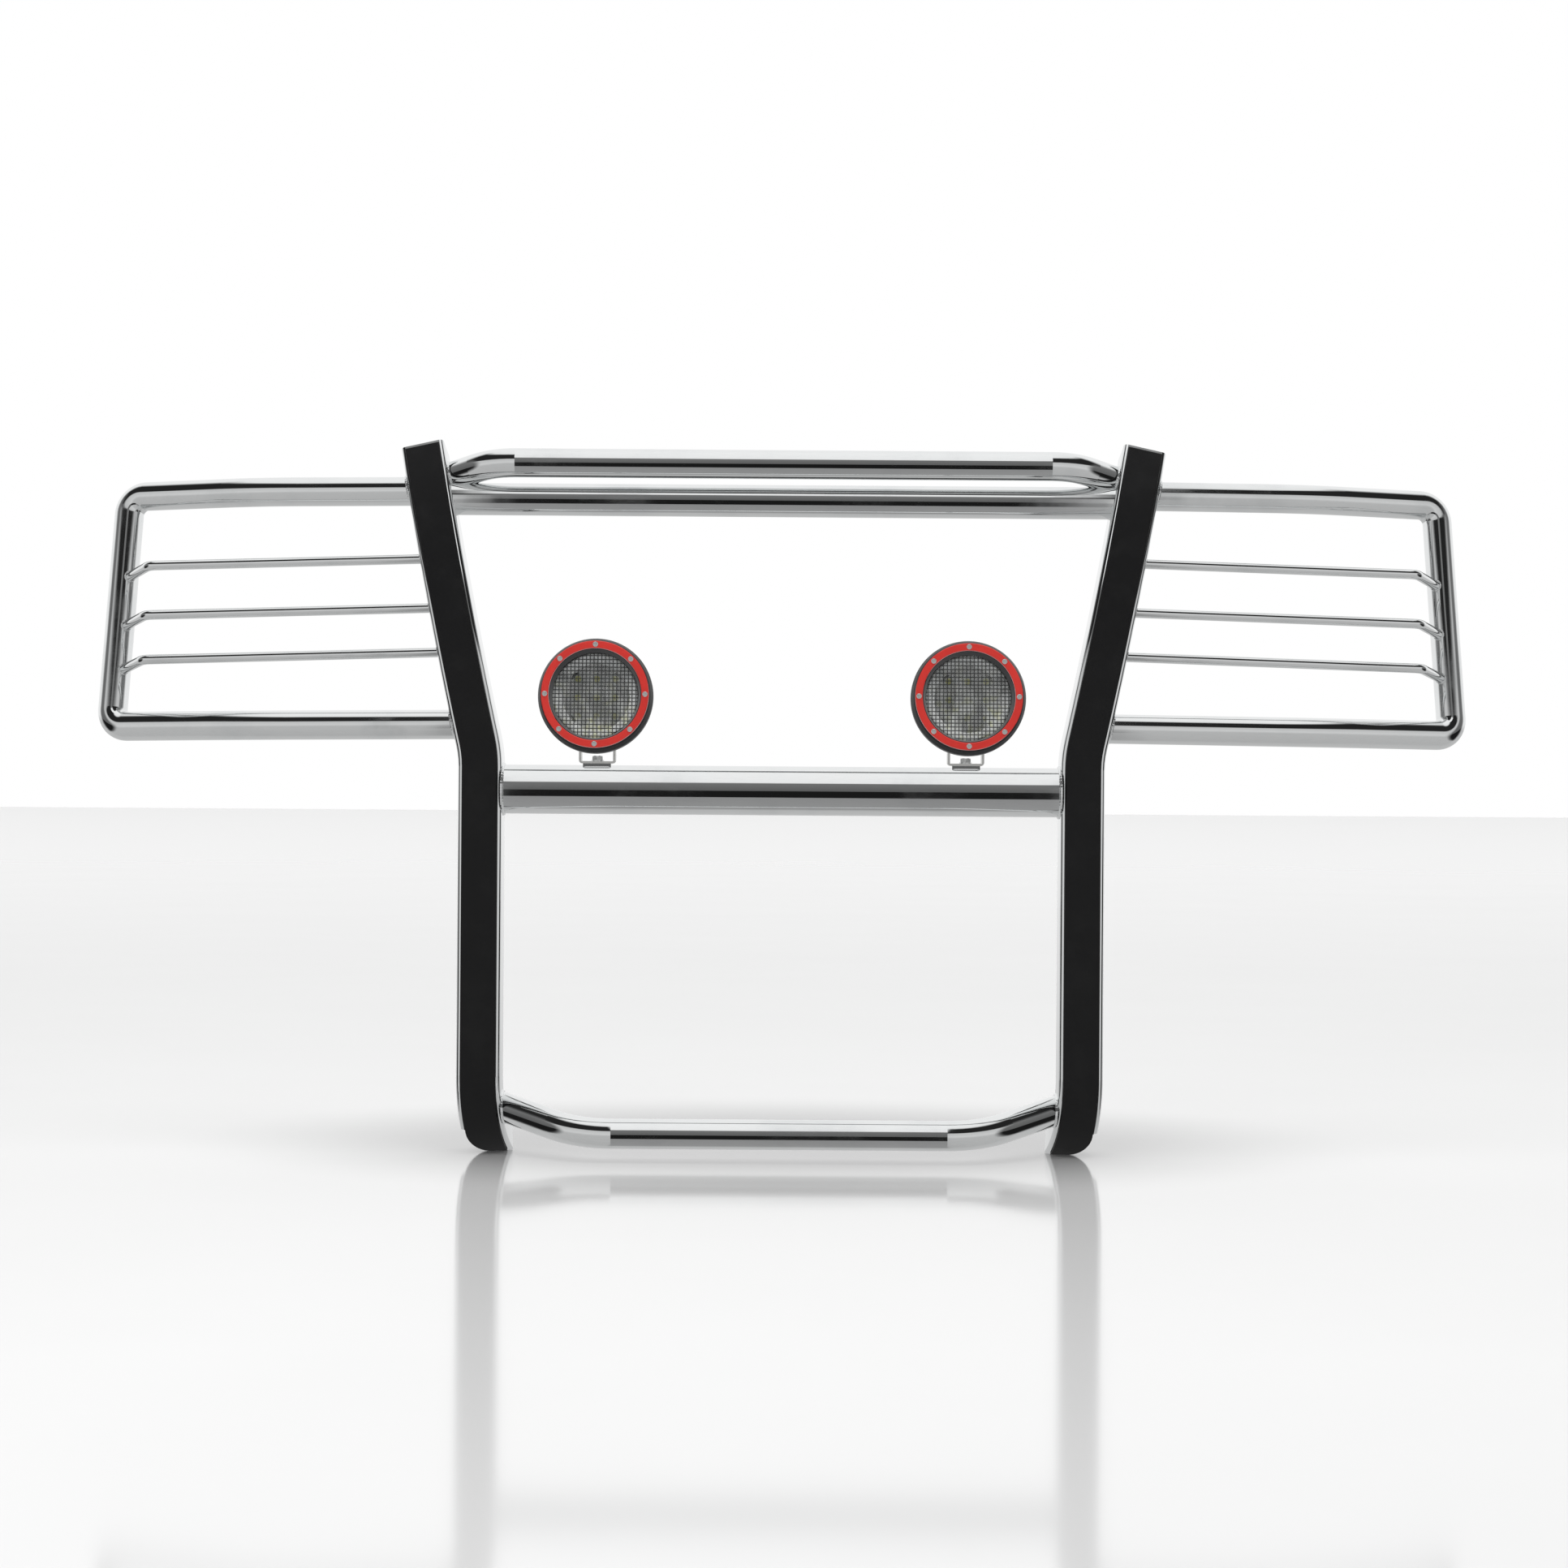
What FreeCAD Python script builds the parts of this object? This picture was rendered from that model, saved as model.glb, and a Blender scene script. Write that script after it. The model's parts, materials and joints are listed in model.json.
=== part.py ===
import FreeCAD, Part
import math
import os
import re
import Sketcher

# Front grille guard for a pickup, in millimetres: two formed uprights, four cross tubes,
# two headlamp wings and two auxiliary lamps on swivelling U brackets.
# +Z is up, the front faces -Y, and the origin is the centre of the bolts to the vehicle's frame.

SIZES = {
    # uprights
    "upright_spacing": 775.4, "upright_width": 57, "upright_depth": 44, "upright_wall": 2,
    "upright_corner": 5.5, "straight_bottom": 101.7, "straight_top": 500,
    "flare_angle": 12.5, "flare_radius": 150, "lean_angle": 29.2, "lean_radius": 800,
    "foot_angle": 60, "foot_radius": 105, "toe_in_angle": 12, "foot_round": 30, "foot_trim": 12,
    "plug_length": 42, "cap_thickness": 3,
    "strip_width": 46, "strip_thickness": 5, "strip_round": 2, "strip_setback": 4,
    # cross tubes
    "tube_diameter": 38.1, "tube_wall": 2,
    "top_hoop_height": "=straight_top + 376", "top_hoop_bow": 64.6, "top_hoop_tilt": 19,
    "top_hoop_corner": 380,
    "top_hoop_radius": 90, "top_hoop_set": 21.4,
    "upper_tube_diameter": 42.4, "upper_tube_height": "=straight_top + 352",
    "cross_diameter": 63.5, "cross_wall": 2, "cross_height": "=straight_top - 29.3",
    "lower_hoop_height": 66, "lower_hoop_bow": 107.6, "lower_hoop_tilt": 16.6,
    "lower_hoop_corner": 255, "lower_hoop_radius": 120, "lower_hoop_set": 23.7,
    # wings
    "wing_reach": 876, "wing_spread": 6, "wing_bend": 690, "wing_top": "=straight_top + 363",
    "wing_bottom": "=straight_top + 54",
    "wing_droop": 0.6, "wing_sweep": 64, "wing_bend_radius": 300, "wing_corner": 24,
    "bar_diameter": 12.7, "bar_upper": "=straight_top + 271", "bar_middle": "=straight_top + 206",
    "bar_lower": "=straight_top + 148",
    "bar_droop": 1.8, "bar_bend": 828, "bar_bend_radius": 16, "bar_drop": 13,
    # brackets to the vehicle's frame
    "reach": 150, "mount_height": 230, "hole_spacing_x": 816, "hole_spacing_z": 80,
    "frame_hole_radius": 6.75,
    "tab_thickness": 6, "tab_width": 88, "tab_height": 110, "tab_inset": 3.7,
    "bracket_thickness": 8, "bracket_flange": 46, "bracket_web": 90, "bracket_height": 124,
    "bend_share": 0.9, "bracket_bolt_y": 65, "bracket_bolt_spacing": 70,
    "bolt_radius": 6, "bolt_hole_radius": 6.5, "bolt_head_flats": 18, "bolt_head": 7.5,
    "washer_radius": 12, "washer": 2.5, "lock_washer_radius": 10.5, "lock_washer": 3,
    "nut": 10, "bolt_overrun": 3,
    # lamp mounting on the centre cross tube
    "lamp_spacing": 475.6, "seat_length": 36, "seat_depth": 28, "seat_rise": 2,
    "insert_radius": 5.5, "insert_length": 16, "insert_flare": 7.5, "insert_flare_length": 3,
    "small_bolt_radius": 4, "small_bolt_flats": 13, "small_bolt_head": 5.3,
    "small_washer_radius": 8, "small_washer": 1.6, "base_bolt_depth": 14,
    "bracket_gap": 0.05, "running_clearance": 0.05,
    # U bracket
    "lamp_bracket_width": 47, "lamp_bracket_depth": 22, "lamp_bracket_sheet": 3,
    "lamp_bracket_bend": 4.5, "leg_round": 0.48, "pivot_height": 81.3, "leg_over": 11,
    # lamp
    "lamp_aim": 6, "lamp_radius": 73.5, "lamp_reach": 62, "lamp_front_radius": 70.5,
    "lamp_barrel_front": 50, "lamp_barrel_back": 38, "lamp_back": 23, "lamp_back_radius": 46,
    "lamp_bore": 59, "lamp_shoulder": 54, "lamp_floor": 28, "lug_gap": 0.1, "lug_round": 12,
    "lug_half_height": 12, "lug_chamfer": 4, "lug_root": 2, "tilt_bolt_depth": 14,
    "housing_ribs": 4, "rib_depth": 4, "front_chamfer": 3, "front_edge": 1.5,
    "cavity_depth": 8, "cavity_slope": 14,
    "bezel_radius": 68.5, "bezel": 4, "bezel_chamfer": 0.8, "screw_circle": 63.75, "screw_count": 8,
    "screw_radius": 2, "screw_head_radius": 3.3, "screw_head": 1.8, "screw_length": 12,
    "lens": 4, "lens_crown": 1, "lens_depth": 10, "lens_gap": 0.5, "ring_gap": 0.2, "ring_lip": 2,
    "crown_reach": 0.6, "crown_share": 0.7, "ring_foot": 1, "ring_wall": 0.8,
    "reflector_sheet": 1.2, "reflector_floor": 34, "reflector_well": 44, "board": 1.6,
    "board_margin": 15,
    "emitter_radius": 4, "emitter": 1.5, "emitter_spacing": 24, "emitter_window": 8,
    "gland_drop": 33, "gland_radius": 8, "gland_length": 15, "gland_bore": 3.2,
    "gland_nut_radius": 9.5, "gland_nut": 6,
}

os.makedirs("parts", exist_ok=True)
doc = FreeCAD.newDocument("grille_guard")
sheet = doc.addObject("Spreadsheet::Sheet", "Dims")
for row, (alias, number) in enumerate(SIZES.items(), 1):
    sheet.set(f"A{row}", alias)
    sheet.set(f"B{row}", str(number))
    sheet.setAlias(f"B{row}", alias)
doc.recompute()

V = FreeCAD.Vector
Rotation = FreeCAD.Rotation
Placement = FreeCAD.Placement
UP = V(0, 0, 1)
pieces = []


# ---- sizes, places and sketches ----

def bound(text):
    """Turns each size's name in an expression into a reference to the sheet."""
    return re.sub(r"[a-z]\w*", lambda word: "Dims." + word[0] if word[0] in SIZES else word[0], text)


def size(text):
    return float(sheet.evalExpression(bound(text)))


def point(x, y, z):
    """A point given as distances from the mid-plane, back from the uprights' centres and up
    from the ground that their feet would touch."""
    return V(size(x), size(f"{y} - reach"), size(f"{z} - mount_height"))


def place(piece, x="0", y="0", z="0", axis=(0, 0, 1), turn="0"):
    """Binds a piece's place, in the same distances as point, and its turn in degrees."""
    piece.Placement = Placement(V(), Rotation(V(*axis), 1))
    piece.setExpression("Placement.Base.x", bound(x))
    piece.setExpression("Placement.Base.y", bound(f"{y} - reach"))
    piece.setExpression("Placement.Base.z", bound(f"{z} - mount_height"))
    piece.setExpression("Placement.Rotation.Angle", bound(turn))
    return piece


def keep(piece, label):
    """Names a finished piece and puts it on the list that is written out."""
    piece.Label = label
    pieces.append(piece)
    return piece


def new_body(label):
    return keep(doc.addObject("PartDesign::Body", label), label)


def origin_part(body, role):
    return next(part for part in body.Origin.OriginFeatures if part.Role == role)


def new_sketch(body, role, offset="0"):
    flat = body.newObject("Sketcher::SketchObject", f"{body.Name}_sketch")
    flat.AttachmentSupport = (origin_part(body, role), [""])
    flat.MapMode = "FlatFace"
    flat.setExpression("AttachmentOffset.Base.z", bound(offset))
    return flat


def pin(flat, shape, end, x, y):
    """Holds a sketch point at bound distances from the sketch's origin."""
    for text, kind, axis in ((x, "DistanceX", -2), (y, "DistanceY", -1)):
        if text == "0":
            flat.addConstraint(Sketcher.Constraint("PointOnObject", shape, end, axis))
        else:
            number = flat.addConstraint(Sketcher.Constraint(kind, -1, 1, shape, end, size(text)))
            flat.setExpression(f"Constraints[{number}]", bound(text))


def add_circle(flat, x, y, radius):
    shape = flat.addGeometry(Part.Circle(V(size(x), size(y), 0), UP, size(radius)))
    number = flat.addConstraint(Sketcher.Constraint("Radius", shape, size(radius)))
    flat.setExpression(f"Constraints[{number}]", bound(radius))
    pin(flat, shape, 3, x, y)


def add_outline(flat, corners):
    """A closed outline of straight sides through the bound corners."""
    spots = [V(size(x), size(y), 0) for x, y in corners]
    first = flat.GeometryCount
    for index, spot in enumerate(spots):
        flat.addGeometry(Part.LineSegment(spot, spots[(index + 1) % len(spots)]))
    for index, (x, y) in enumerate(corners):
        following = first + (index + 1) % len(corners)
        flat.addConstraint(Sketcher.Constraint("Coincident", first + index, 2, following, 1))
        pin(flat, first + index, 1, x, y)


def add_feature(body, kind, flat, length=None, midplane=False, backwards=False):
    """A Pad or Pocket of the sketch."""
    made = body.newObject(f"PartDesign::{kind}", f"{body.Name}_{kind.lower()}")
    made.Profile = flat
    made.setExpression("Length", bound(length))
    made.Midplane = midplane
    made.Reversed = backwards
    return made


def add_turned(body, outline):
    """Turns an outline of (radius, along) corners about the body's Y axis."""
    flat = new_sketch(body, "XY_Plane")
    add_outline(flat, outline)
    made = body.newObject("PartDesign::Revolution", f"{body.Name}_turned")
    made.Profile = flat
    made.ReferenceAxis = (flat, ["V_Axis"])
    made.Angle = 360
    return made


def add_polar(body, features, count):
    """Repeats features round the body's Y axis."""
    doc.recompute()
    made = body.newObject("PartDesign::PolarPattern", f"{body.Name}_ring")
    made.Originals = features
    made.Axis = (origin_part(body, "Y_Axis"), [""])
    made.Angle = 360
    made.setExpression("Occurrences", bound(count))
    body.Tip = made
    return made


def fillet_edges(body, feature, radius, wanted):
    """Rounds the edges of a feature for which wanted(edge) is true."""
    doc.recompute()
    names = [f"Edge{n}" for n, edge in enumerate(feature.Shape.Edges, 1) if wanted(edge)]
    made = body.newObject("PartDesign::Fillet", f"{body.Name}_fillet")
    made.Base = (feature, names)
    made.setExpression("Radius", bound(radius))
    return made


# ---- primitives, groups and mirrored copies ----

def primitive(kind, name, **sizes):
    made = doc.addObject(f"Part::{kind}", name)
    for key, text in sizes.items():
        made.setExpression(key, bound(text))
    return made


def cut(base, tool, name):
    made = doc.addObject("Part::Cut", name)
    made.Base = base
    made.Tool = tool
    return made


def fuse(base, tool, name):
    made = doc.addObject("Part::Fuse", name)
    made.Base = base
    made.Tool = tool
    return made


def group(members, name):
    made = doc.addObject("Part::Compound", name)
    made.Links = members
    return made


def mirrored(source, name):
    made = doc.addObject("Part::Mirroring", name)
    made.Source = source
    made.Normal = V(1, 0, 0)
    return made


def both_sides(members, label):
    """One piece of separate solids: the members and their mirrored copies."""
    side = group(members, f"{label}_side")
    return keep(group([side, mirrored(side, f"{label}_other")], label), label)


def solid_feature(shape, name):
    made = doc.addObject("Part::Feature", name)
    made.Shape = shape
    return made


# ---- swept shapes ----

def unit(vector):
    return V(vector).normalize()


def rounded_path(points, radii):
    """Straight runs through the points, joined by tangent arcs of the given radii."""
    edges = []
    start = points[0]
    for before, corner, after, radius in zip(points, points[1:], points[2:], radii):
        back = unit(before - corner)
        onward = unit(after - corner)
        half = back.getAngle(onward) / 2
        run = radius / math.tan(half)
        middle = corner + unit(back + onward) * (radius / math.sin(half) - radius)
        edges.append(Part.LineSegment(start, corner + back * run).toShape())
        edges.append(Part.Arc(corner + back * run, middle, corner + onward * run).toShape())
        start = corner + onward * run
    edges.append(Part.LineSegment(start, points[-1]).toShape())
    return Part.Wire(edges)


def round_sweep(points, radii, radius):
    """A solid round bar along the rounded path."""
    circle = Part.Circle(points[0], points[1] - points[0], radius)
    ring = Part.Wire([circle.toShape()])
    return rounded_path(points, radii).makePipeShell([ring], True, False)


def rounded_rectangle(width, depth, radius, middle_y=0):
    """A flat rounded rectangle about the local Z axis, its middle shifted along local Y."""
    corner = V(width / 2 - radius, depth / 2 - radius, 0)
    shift = V(0, middle_y, 0)
    edges = []
    for quarter in range(4):
        turn = Rotation(UP, 90 * quarter)
        signs = ((1, 1), (-1, 1), (-1, -1), (1, -1))[quarter]
        centre = V(corner.x * signs[0], corner.y * signs[1], 0) + shift
        arms = [centre + turn.multVec(V(math.cos(a), math.sin(a), 0)) * radius
                for a in (0, math.pi / 4, math.pi / 2)]
        if edges:
            edges.append(Part.LineSegment(edges[-1].lastVertex().Point, arms[0]).toShape())
        edges.append(Part.Arc(*arms).toShape())
    edges.append(Part.LineSegment(edges[-1].lastVertex().Point,
                                  edges[0].firstVertex().Point).toShape())
    return Part.Wire(edges)


def bend_edge(start, along, inward, radius, angle):
    """An arc that leaves start along one direction and turns towards another.
    Gives the arc's edge, its end and its end direction."""
    def reach_at(turn):
        return start + along * (radius * math.sin(turn)) + inward * (radius * (1 - math.cos(turn)))
    edge = Part.Arc(start, reach_at(angle / 2), reach_at(angle)).toShape()
    return edge, reach_at(angle), along * math.cos(angle) + inward * math.sin(angle)


# ---- uprights, their rubber strips and ends ----

toe_in = math.radians(size("toe_in_angle"))
behind = V(-math.sin(toe_in), math.cos(toe_in), 0)


def upright_path(top_setback="0"):
    """The line up an upright's middle, on the right: a foot that curls back and in, a straight
    run, a bend outwards and a long lean back. Gives the path, its two ends and the turns there."""
    low = point("upright_spacing / 2", "0", "straight_bottom")
    high = point("upright_spacing / 2", "0", "straight_top")
    foot_angle = math.radians(size("foot_angle"))
    foot, end, heading = bend_edge(low, -UP, behind, size("foot_radius"), foot_angle)
    flare = math.radians(size("flare_angle"))
    bend, bent, rising = bend_edge(high, UP, V(1, 0, 0), size("flare_radius"), flare)
    setback = math.radians(size("lean_angle")) - size(top_setback) / size("lean_radius")
    lean, top, leaving = bend_edge(bent, rising, V(0, 1, 0), size("lean_radius"), setback)
    foot_turn = Rotation(UP, -heading)
    flare_turn = Rotation(V(0, 1, 0), math.degrees(flare))
    across = flare_turn.multVec(V(1, 0, 0))
    top_turn = Rotation(across, -math.degrees(setback)).multiply(flare_turn)
    path = Part.Wire([foot, Part.LineSegment(low, high).toShape(), bend, lean])
    return path, Placement(end, foot_turn), Placement(top, top_turn), leaving


def swept(path, section, start):
    outline = section.copy()
    outline.Placement = start
    return path.makePipeShell([outline], True, False)


path, foot_end, top_end, leaving = upright_path()
outer = rounded_rectangle(size("upright_width"), size("upright_depth"), size("upright_corner"))
inner = rounded_rectangle(size("upright_width - 2 * upright_wall"),
                          size("upright_depth - 2 * upright_wall"),
                          size("upright_corner - upright_wall"))
envelope = swept(path, outer, foot_end)
hollow = swept(path, inner, foot_end)

# The foot is trimmed level, and its outer corner is rounded as seen from the front.
foot_low = envelope.optimalBoundingBox().ZMin + size("foot_trim")
foot_out = foot_end.Base.x + size("upright_width / 2")
round_radius = size("foot_round")
foot_front = foot_end.Base.y - size("2 * upright_depth")
corner_block = Part.makeBox(2 * round_radius, size("4 * upright_depth"), 2 * round_radius,
                            V(foot_out - round_radius, foot_front, foot_low - round_radius))
corner_round = Part.makeCylinder(round_radius, size("4 * upright_depth"),
                                 V(foot_out - round_radius, foot_front, foot_low + round_radius),
                                 V(0, 1, 0))
slab = Part.makeBox(size("3 * upright_width"), size("4 * upright_depth"), 2 * round_radius,
                    V(foot_out - size("2 * upright_width"), foot_front,
                      foot_low - 2 * round_radius))
foot_trimming = corner_block.cut(corner_round).fuse(slab)

upright = keep(solid_feature(envelope.cut(hollow).cut(foot_trimming), "upright"), "upright_right")
keep(mirrored(upright, "upright_other"), "upright_left")
envelope_right = solid_feature(envelope, "envelope")
envelopes = group([envelope_right, mirrored(envelope_right, "envelope_other")], "envelopes")

# A deeper copy ends the bowed tubes square on the uprights' inner faces.
trim_section = rounded_rectangle(size("upright_width"), size("upright_depth + 2 * tube_diameter"),
                                 size("upright_corner"))
trim_shape = swept(path, trim_section, foot_end)
trimmer = solid_feature(trim_shape, "trimmer")
trimmers = group([trimmer, mirrored(trimmer, "trimmer_other")], "trimmers")

strip_path, strip_start, _, _ = upright_path("strip_setback")
strip_section = rounded_rectangle(size("strip_width"), size("strip_thickness"),
                                  size("strip_round"),
                                  size("-(upright_depth + strip_thickness) / 2"))
strip_shape = swept(strip_path, strip_section, strip_start).cut(foot_trimming)
strip = keep(solid_feature(strip_shape, "strip"), "rubber_strip_right")
keep(mirrored(strip, "strip_other"), "rubber_strip_left")

cap_outline = outer.copy()
cap_outline.Placement = top_end
cap_shape = Part.Face(cap_outline).extrude(unit(leaving) * size("cap_thickness"))
cap = keep(solid_feature(cap_shape, "cap"), "top_cap_right")
keep(mirrored(cap, "cap_other"), "top_cap_left")

# A plug fills the lowest stretch of the hollow, so that the rounded corner stays closed.
foot_heading = foot_end.Rotation.multVec(UP)
foot_centre = point("upright_spacing / 2", "0", "straight_bottom") + behind * size("foot_radius")
plug_edge, _, _ = bend_edge(foot_end.Base, foot_heading, unit(foot_centre - foot_end.Base),
                            size("foot_radius"), size("plug_length / foot_radius"))
plug_shape = swept(Part.Wire([plug_edge]), inner, foot_end).cut(foot_trimming)
plug = keep(solid_feature(plug_shape, "plug"), "foot_plug_right")
keep(mirrored(plug, "plug_other"), "foot_plug_left")


# ---- cross tubes ----

def cross_tube(name, diameter, wall, height, half_length, set_back):
    """A straight tube across the guard."""
    outside = primitive("Cylinder", f"{name}_outside", Radius=f"({diameter}) / 2",
                        Height=f"2 * ({half_length})")
    inside = primitive("Cylinder", f"{name}_inside", Radius=f"({diameter}) / 2 - {wall}",
                       Height=f"2 * ({half_length})")
    for cylinder in (outside, inside):
        place(cylinder, f"-({half_length})", set_back, height, (0, 1, 0), "90")
    return cut(outside, inside, f"{name}_tube")


def hoop_body(name, corner, bow, radius, half_length):
    """A tube in the body's XY plane, bowed along -Y between its two ends."""
    body = doc.addObject("PartDesign::Body", name)
    line = new_sketch(body, "XY_Plane")
    bow_size, corner_size, half, bend = size(bow), size(corner), size(half_length), size(radius)
    slope = V(half - corner_size, bow_size, 0).normalize()
    run = bend * math.tan(slope.getAngle(V(1, 0, 0)) / 2)
    knee = V(corner_size, -bow_size, 0)
    bend_start = knee - V(run, 0, 0)
    bend_end = knee + slope * run
    centre = bend_start + V(0, bend, 0)
    middle = centre + unit(knee - centre) * bend
    line.addGeometry(Part.LineSegment(V(0, -bow_size, 0), bend_start))
    line.addGeometry(Part.Arc(bend_start, middle, bend_end))
    line.addGeometry(Part.LineSegment(bend_end, V(half, 0, 0)))
    line.addGeometry(Part.Point(knee), True)
    line.addConstraint(Sketcher.Constraint("Horizontal", 0))
    line.addConstraint(Sketcher.Constraint("Tangent", 0, 2, 1, 1))
    line.addConstraint(Sketcher.Constraint("Tangent", 1, 2, 2, 1))
    line.addConstraint(Sketcher.Constraint("PointOnObject", 3, 1, 2))
    bent = line.addConstraint(Sketcher.Constraint("Radius", 1, bend))
    line.setExpression(f"Constraints[{bent}]", bound(radius))
    pin(line, 0, 1, "0", f"-({bow})")
    pin(line, 2, 2, half_length, "0")
    pin(line, 3, 1, corner, f"-({bow})")
    section = new_sketch(body, "YZ_Plane")
    add_circle(section, f"-({bow})", "0", "tube_diameter / 2")
    add_circle(section, f"-({bow})", "0", "tube_diameter / 2 - tube_wall")
    half_tube = body.newObject("PartDesign::AdditivePipe", f"{name}_pipe")
    half_tube.Profile = section
    half_tube.Spine = (line, [])
    doc.recompute()
    whole = body.newObject("PartDesign::Mirrored", f"{name}_whole")
    whole.Originals = [half_tube]
    whole.MirrorPlane = (origin_part(body, "YZ_Plane"), [""])
    body.Tip = whole
    return body


half_spacing = "upright_spacing / 2"


def upright_middle(height):
    """How far the flared part of an upright is from the mid-plane at a height."""
    bend_height = "(straight_top + flare_radius * tan(flare_angle / 2))"
    return f"{half_spacing} + tan(flare_angle) * ({height} - {bend_height})"


def upright_set(height):
    """How far back the flared part of an upright leans at a height."""
    rise = f"({height} - straight_top - flare_radius * sin(flare_angle)) / cos(flare_angle)"
    return f"lean_radius - sqrt(lean_radius ^ 2 - ({rise}) ^ 2)"


def foot_set(height):
    """How far back the curled foot of an upright is at a height."""
    return f"foot_radius - sqrt(foot_radius ^ 2 - (straight_bottom - {height}) ^ 2)"


top_hoop = hoop_body("top_hoop", "top_hoop_corner", "top_hoop_bow", "top_hoop_radius",
                     upright_middle("top_hoop_height"))
place(top_hoop, "0", f"{upright_set('top_hoop_height')} + top_hoop_set", "top_hoop_height",
      (1, 0, 0), "-top_hoop_tilt")

lower_hoop = hoop_body("lower_hoop", "lower_hoop_corner", "lower_hoop_bow", "lower_hoop_radius",
                       half_spacing)
place(lower_hoop, "0", f"{foot_set('lower_hoop_height')} + lower_hoop_set", "lower_hoop_height",
      (1, 0, 0), "lower_hoop_tilt")
keep(cut(lower_hoop, trimmers, "lower_hoop_coped"), "lower_hoop_tube")

upper_tube = cross_tube("upper", "upper_tube_diameter", "tube_wall", "upper_tube_height",
                        upright_middle("upper_tube_height"), upright_set("upper_tube_height"))
keep(cut(upper_tube, envelopes, "upper_coped"), "upper_cross_tube")
hoop_tools = group([trimmers, doc.getObject("upper_outside")], "hoop_tools")
keep(cut(top_hoop, hoop_tools, "top_hoop_coped"), "top_hoop_tube")

insert_bore = primitive("Cylinder", "insert_bore", Radius="insert_radius",
                        Height="cross_diameter")
place(insert_bore, "lamp_spacing / 2", "0", "cross_height")
insert_bores = group([insert_bore, mirrored(insert_bore, "insert_bore_other")], "insert_bores")
centre_tube = cross_tube("centre", "cross_diameter", "cross_wall", "cross_height",
                         "(upright_spacing - upright_width) / 2", "0")
keep(cut(centre_tube, insert_bores, "centre_drilled"), "centre_cross_tube")


# ---- wings ----

def wing_point(x, y, z):
    """A point of the right wing; its height falls with the droop, counted from the upright."""
    spot = point(x, y, z)
    fall = (spot.x - size(half_spacing)) * size("tan(wing_droop)")
    return spot - UP * fall


wing_top_set = upright_set("wing_top")
wing_bottom_set = upright_set("wing_bottom")
wing_points = [
    wing_point(upright_middle("wing_top"), wing_top_set, "wing_top"),
    wing_point("wing_bend", wing_top_set, "wing_top"),
    wing_point("wing_reach", f"{wing_top_set} + wing_sweep", "wing_top"),
    wing_point("wing_reach + wing_spread", f"{wing_bottom_set} + wing_sweep", "wing_bottom"),
    wing_point("wing_bend", wing_bottom_set, "wing_bottom"),
    wing_point(upright_middle("wing_bottom"), wing_bottom_set, "wing_bottom"),
]
wing_radii = [size(name) for name in ("wing_bend_radius", "wing_corner", "wing_corner",
                                      "wing_bend_radius")]
wing_outside = round_sweep(wing_points, wing_radii, size("tube_diameter / 2"))
wing_inside = round_sweep(wing_points, wing_radii, size("tube_diameter / 2 - tube_wall"))
wing = keep(solid_feature(wing_outside.cut(wing_inside).cut(trim_shape), "wing"),
            "wing_frame_right")
keep(mirrored(wing, "wing_other"), "wing_frame_left")

for level, height in (("upper", "bar_upper"), ("middle", "bar_middle"), ("lower", "bar_lower")):
    bar_fall = f"(bar_bend - ({upright_middle(height)})) * tan(bar_droop)"
    knee_height = f"{height} - {bar_fall}"
    share = f"({knee_height} - bar_drop - wing_bottom) / (wing_top - wing_bottom)"
    leg_set = f"{wing_bottom_set} + wing_sweep + {share} * ({wing_top_set} - ({wing_bottom_set}))"
    inner_end = point(upright_middle(height), upright_set(height), height)
    bar_knee = point("bar_bend", upright_set(height), knee_height)
    bar_end = point("wing_reach", leg_set, f"{knee_height} - bar_drop")
    rod = round_sweep([inner_end, bar_knee, bar_end], [size("bar_bend_radius")],
                      size("bar_diameter / 2"))
    rod_shape = rod.cut(trim_shape).cut(wing_outside)
    bar = keep(solid_feature(rod_shape, f"bar_{level}"), f"wing_bar_right_{level}")
    keep(mirrored(bar, f"bar_{level}_other"), f"wing_bar_left_{level}")


# ---- brackets to the vehicle's frame, and their bolts ----

rear_face = "upright_depth / 2"
bolt_heights = ("mount_height - bracket_bolt_spacing / 2", "mount_height + bracket_bolt_spacing / 2")


def crosswise_hole(name, radius, start, length, height, along="bracket_bolt_y"):
    """A cylinder along X, where a bracket bolt passes."""
    hole = primitive("Cylinder", name, Radius=radius, Height=length)
    return place(hole, start, along, height, (0, 1, 0), "90")


tab_side = f"{half_spacing} - tab_inset - tab_thickness"
web_side = f"{half_spacing} - tab_inset"
tab_plate = primitive("Box", "tab_plate", Length="tab_thickness", Width="tab_width",
                      Height="tab_height")
place(tab_plate, tab_side, rear_face, "mount_height - tab_height / 2")
tab_holes = group([crosswise_hole(f"tab_hole_{n}", "bolt_hole_radius", tab_side,
                                  "tab_thickness", height)
                   for n, height in enumerate(bolt_heights)], "tab_holes")
tab = keep(cut(tab_plate, tab_holes, "tab_drilled"), "mounting_tab_right")
keep(mirrored(tab, "tab_other"), "mounting_tab_left")

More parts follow.
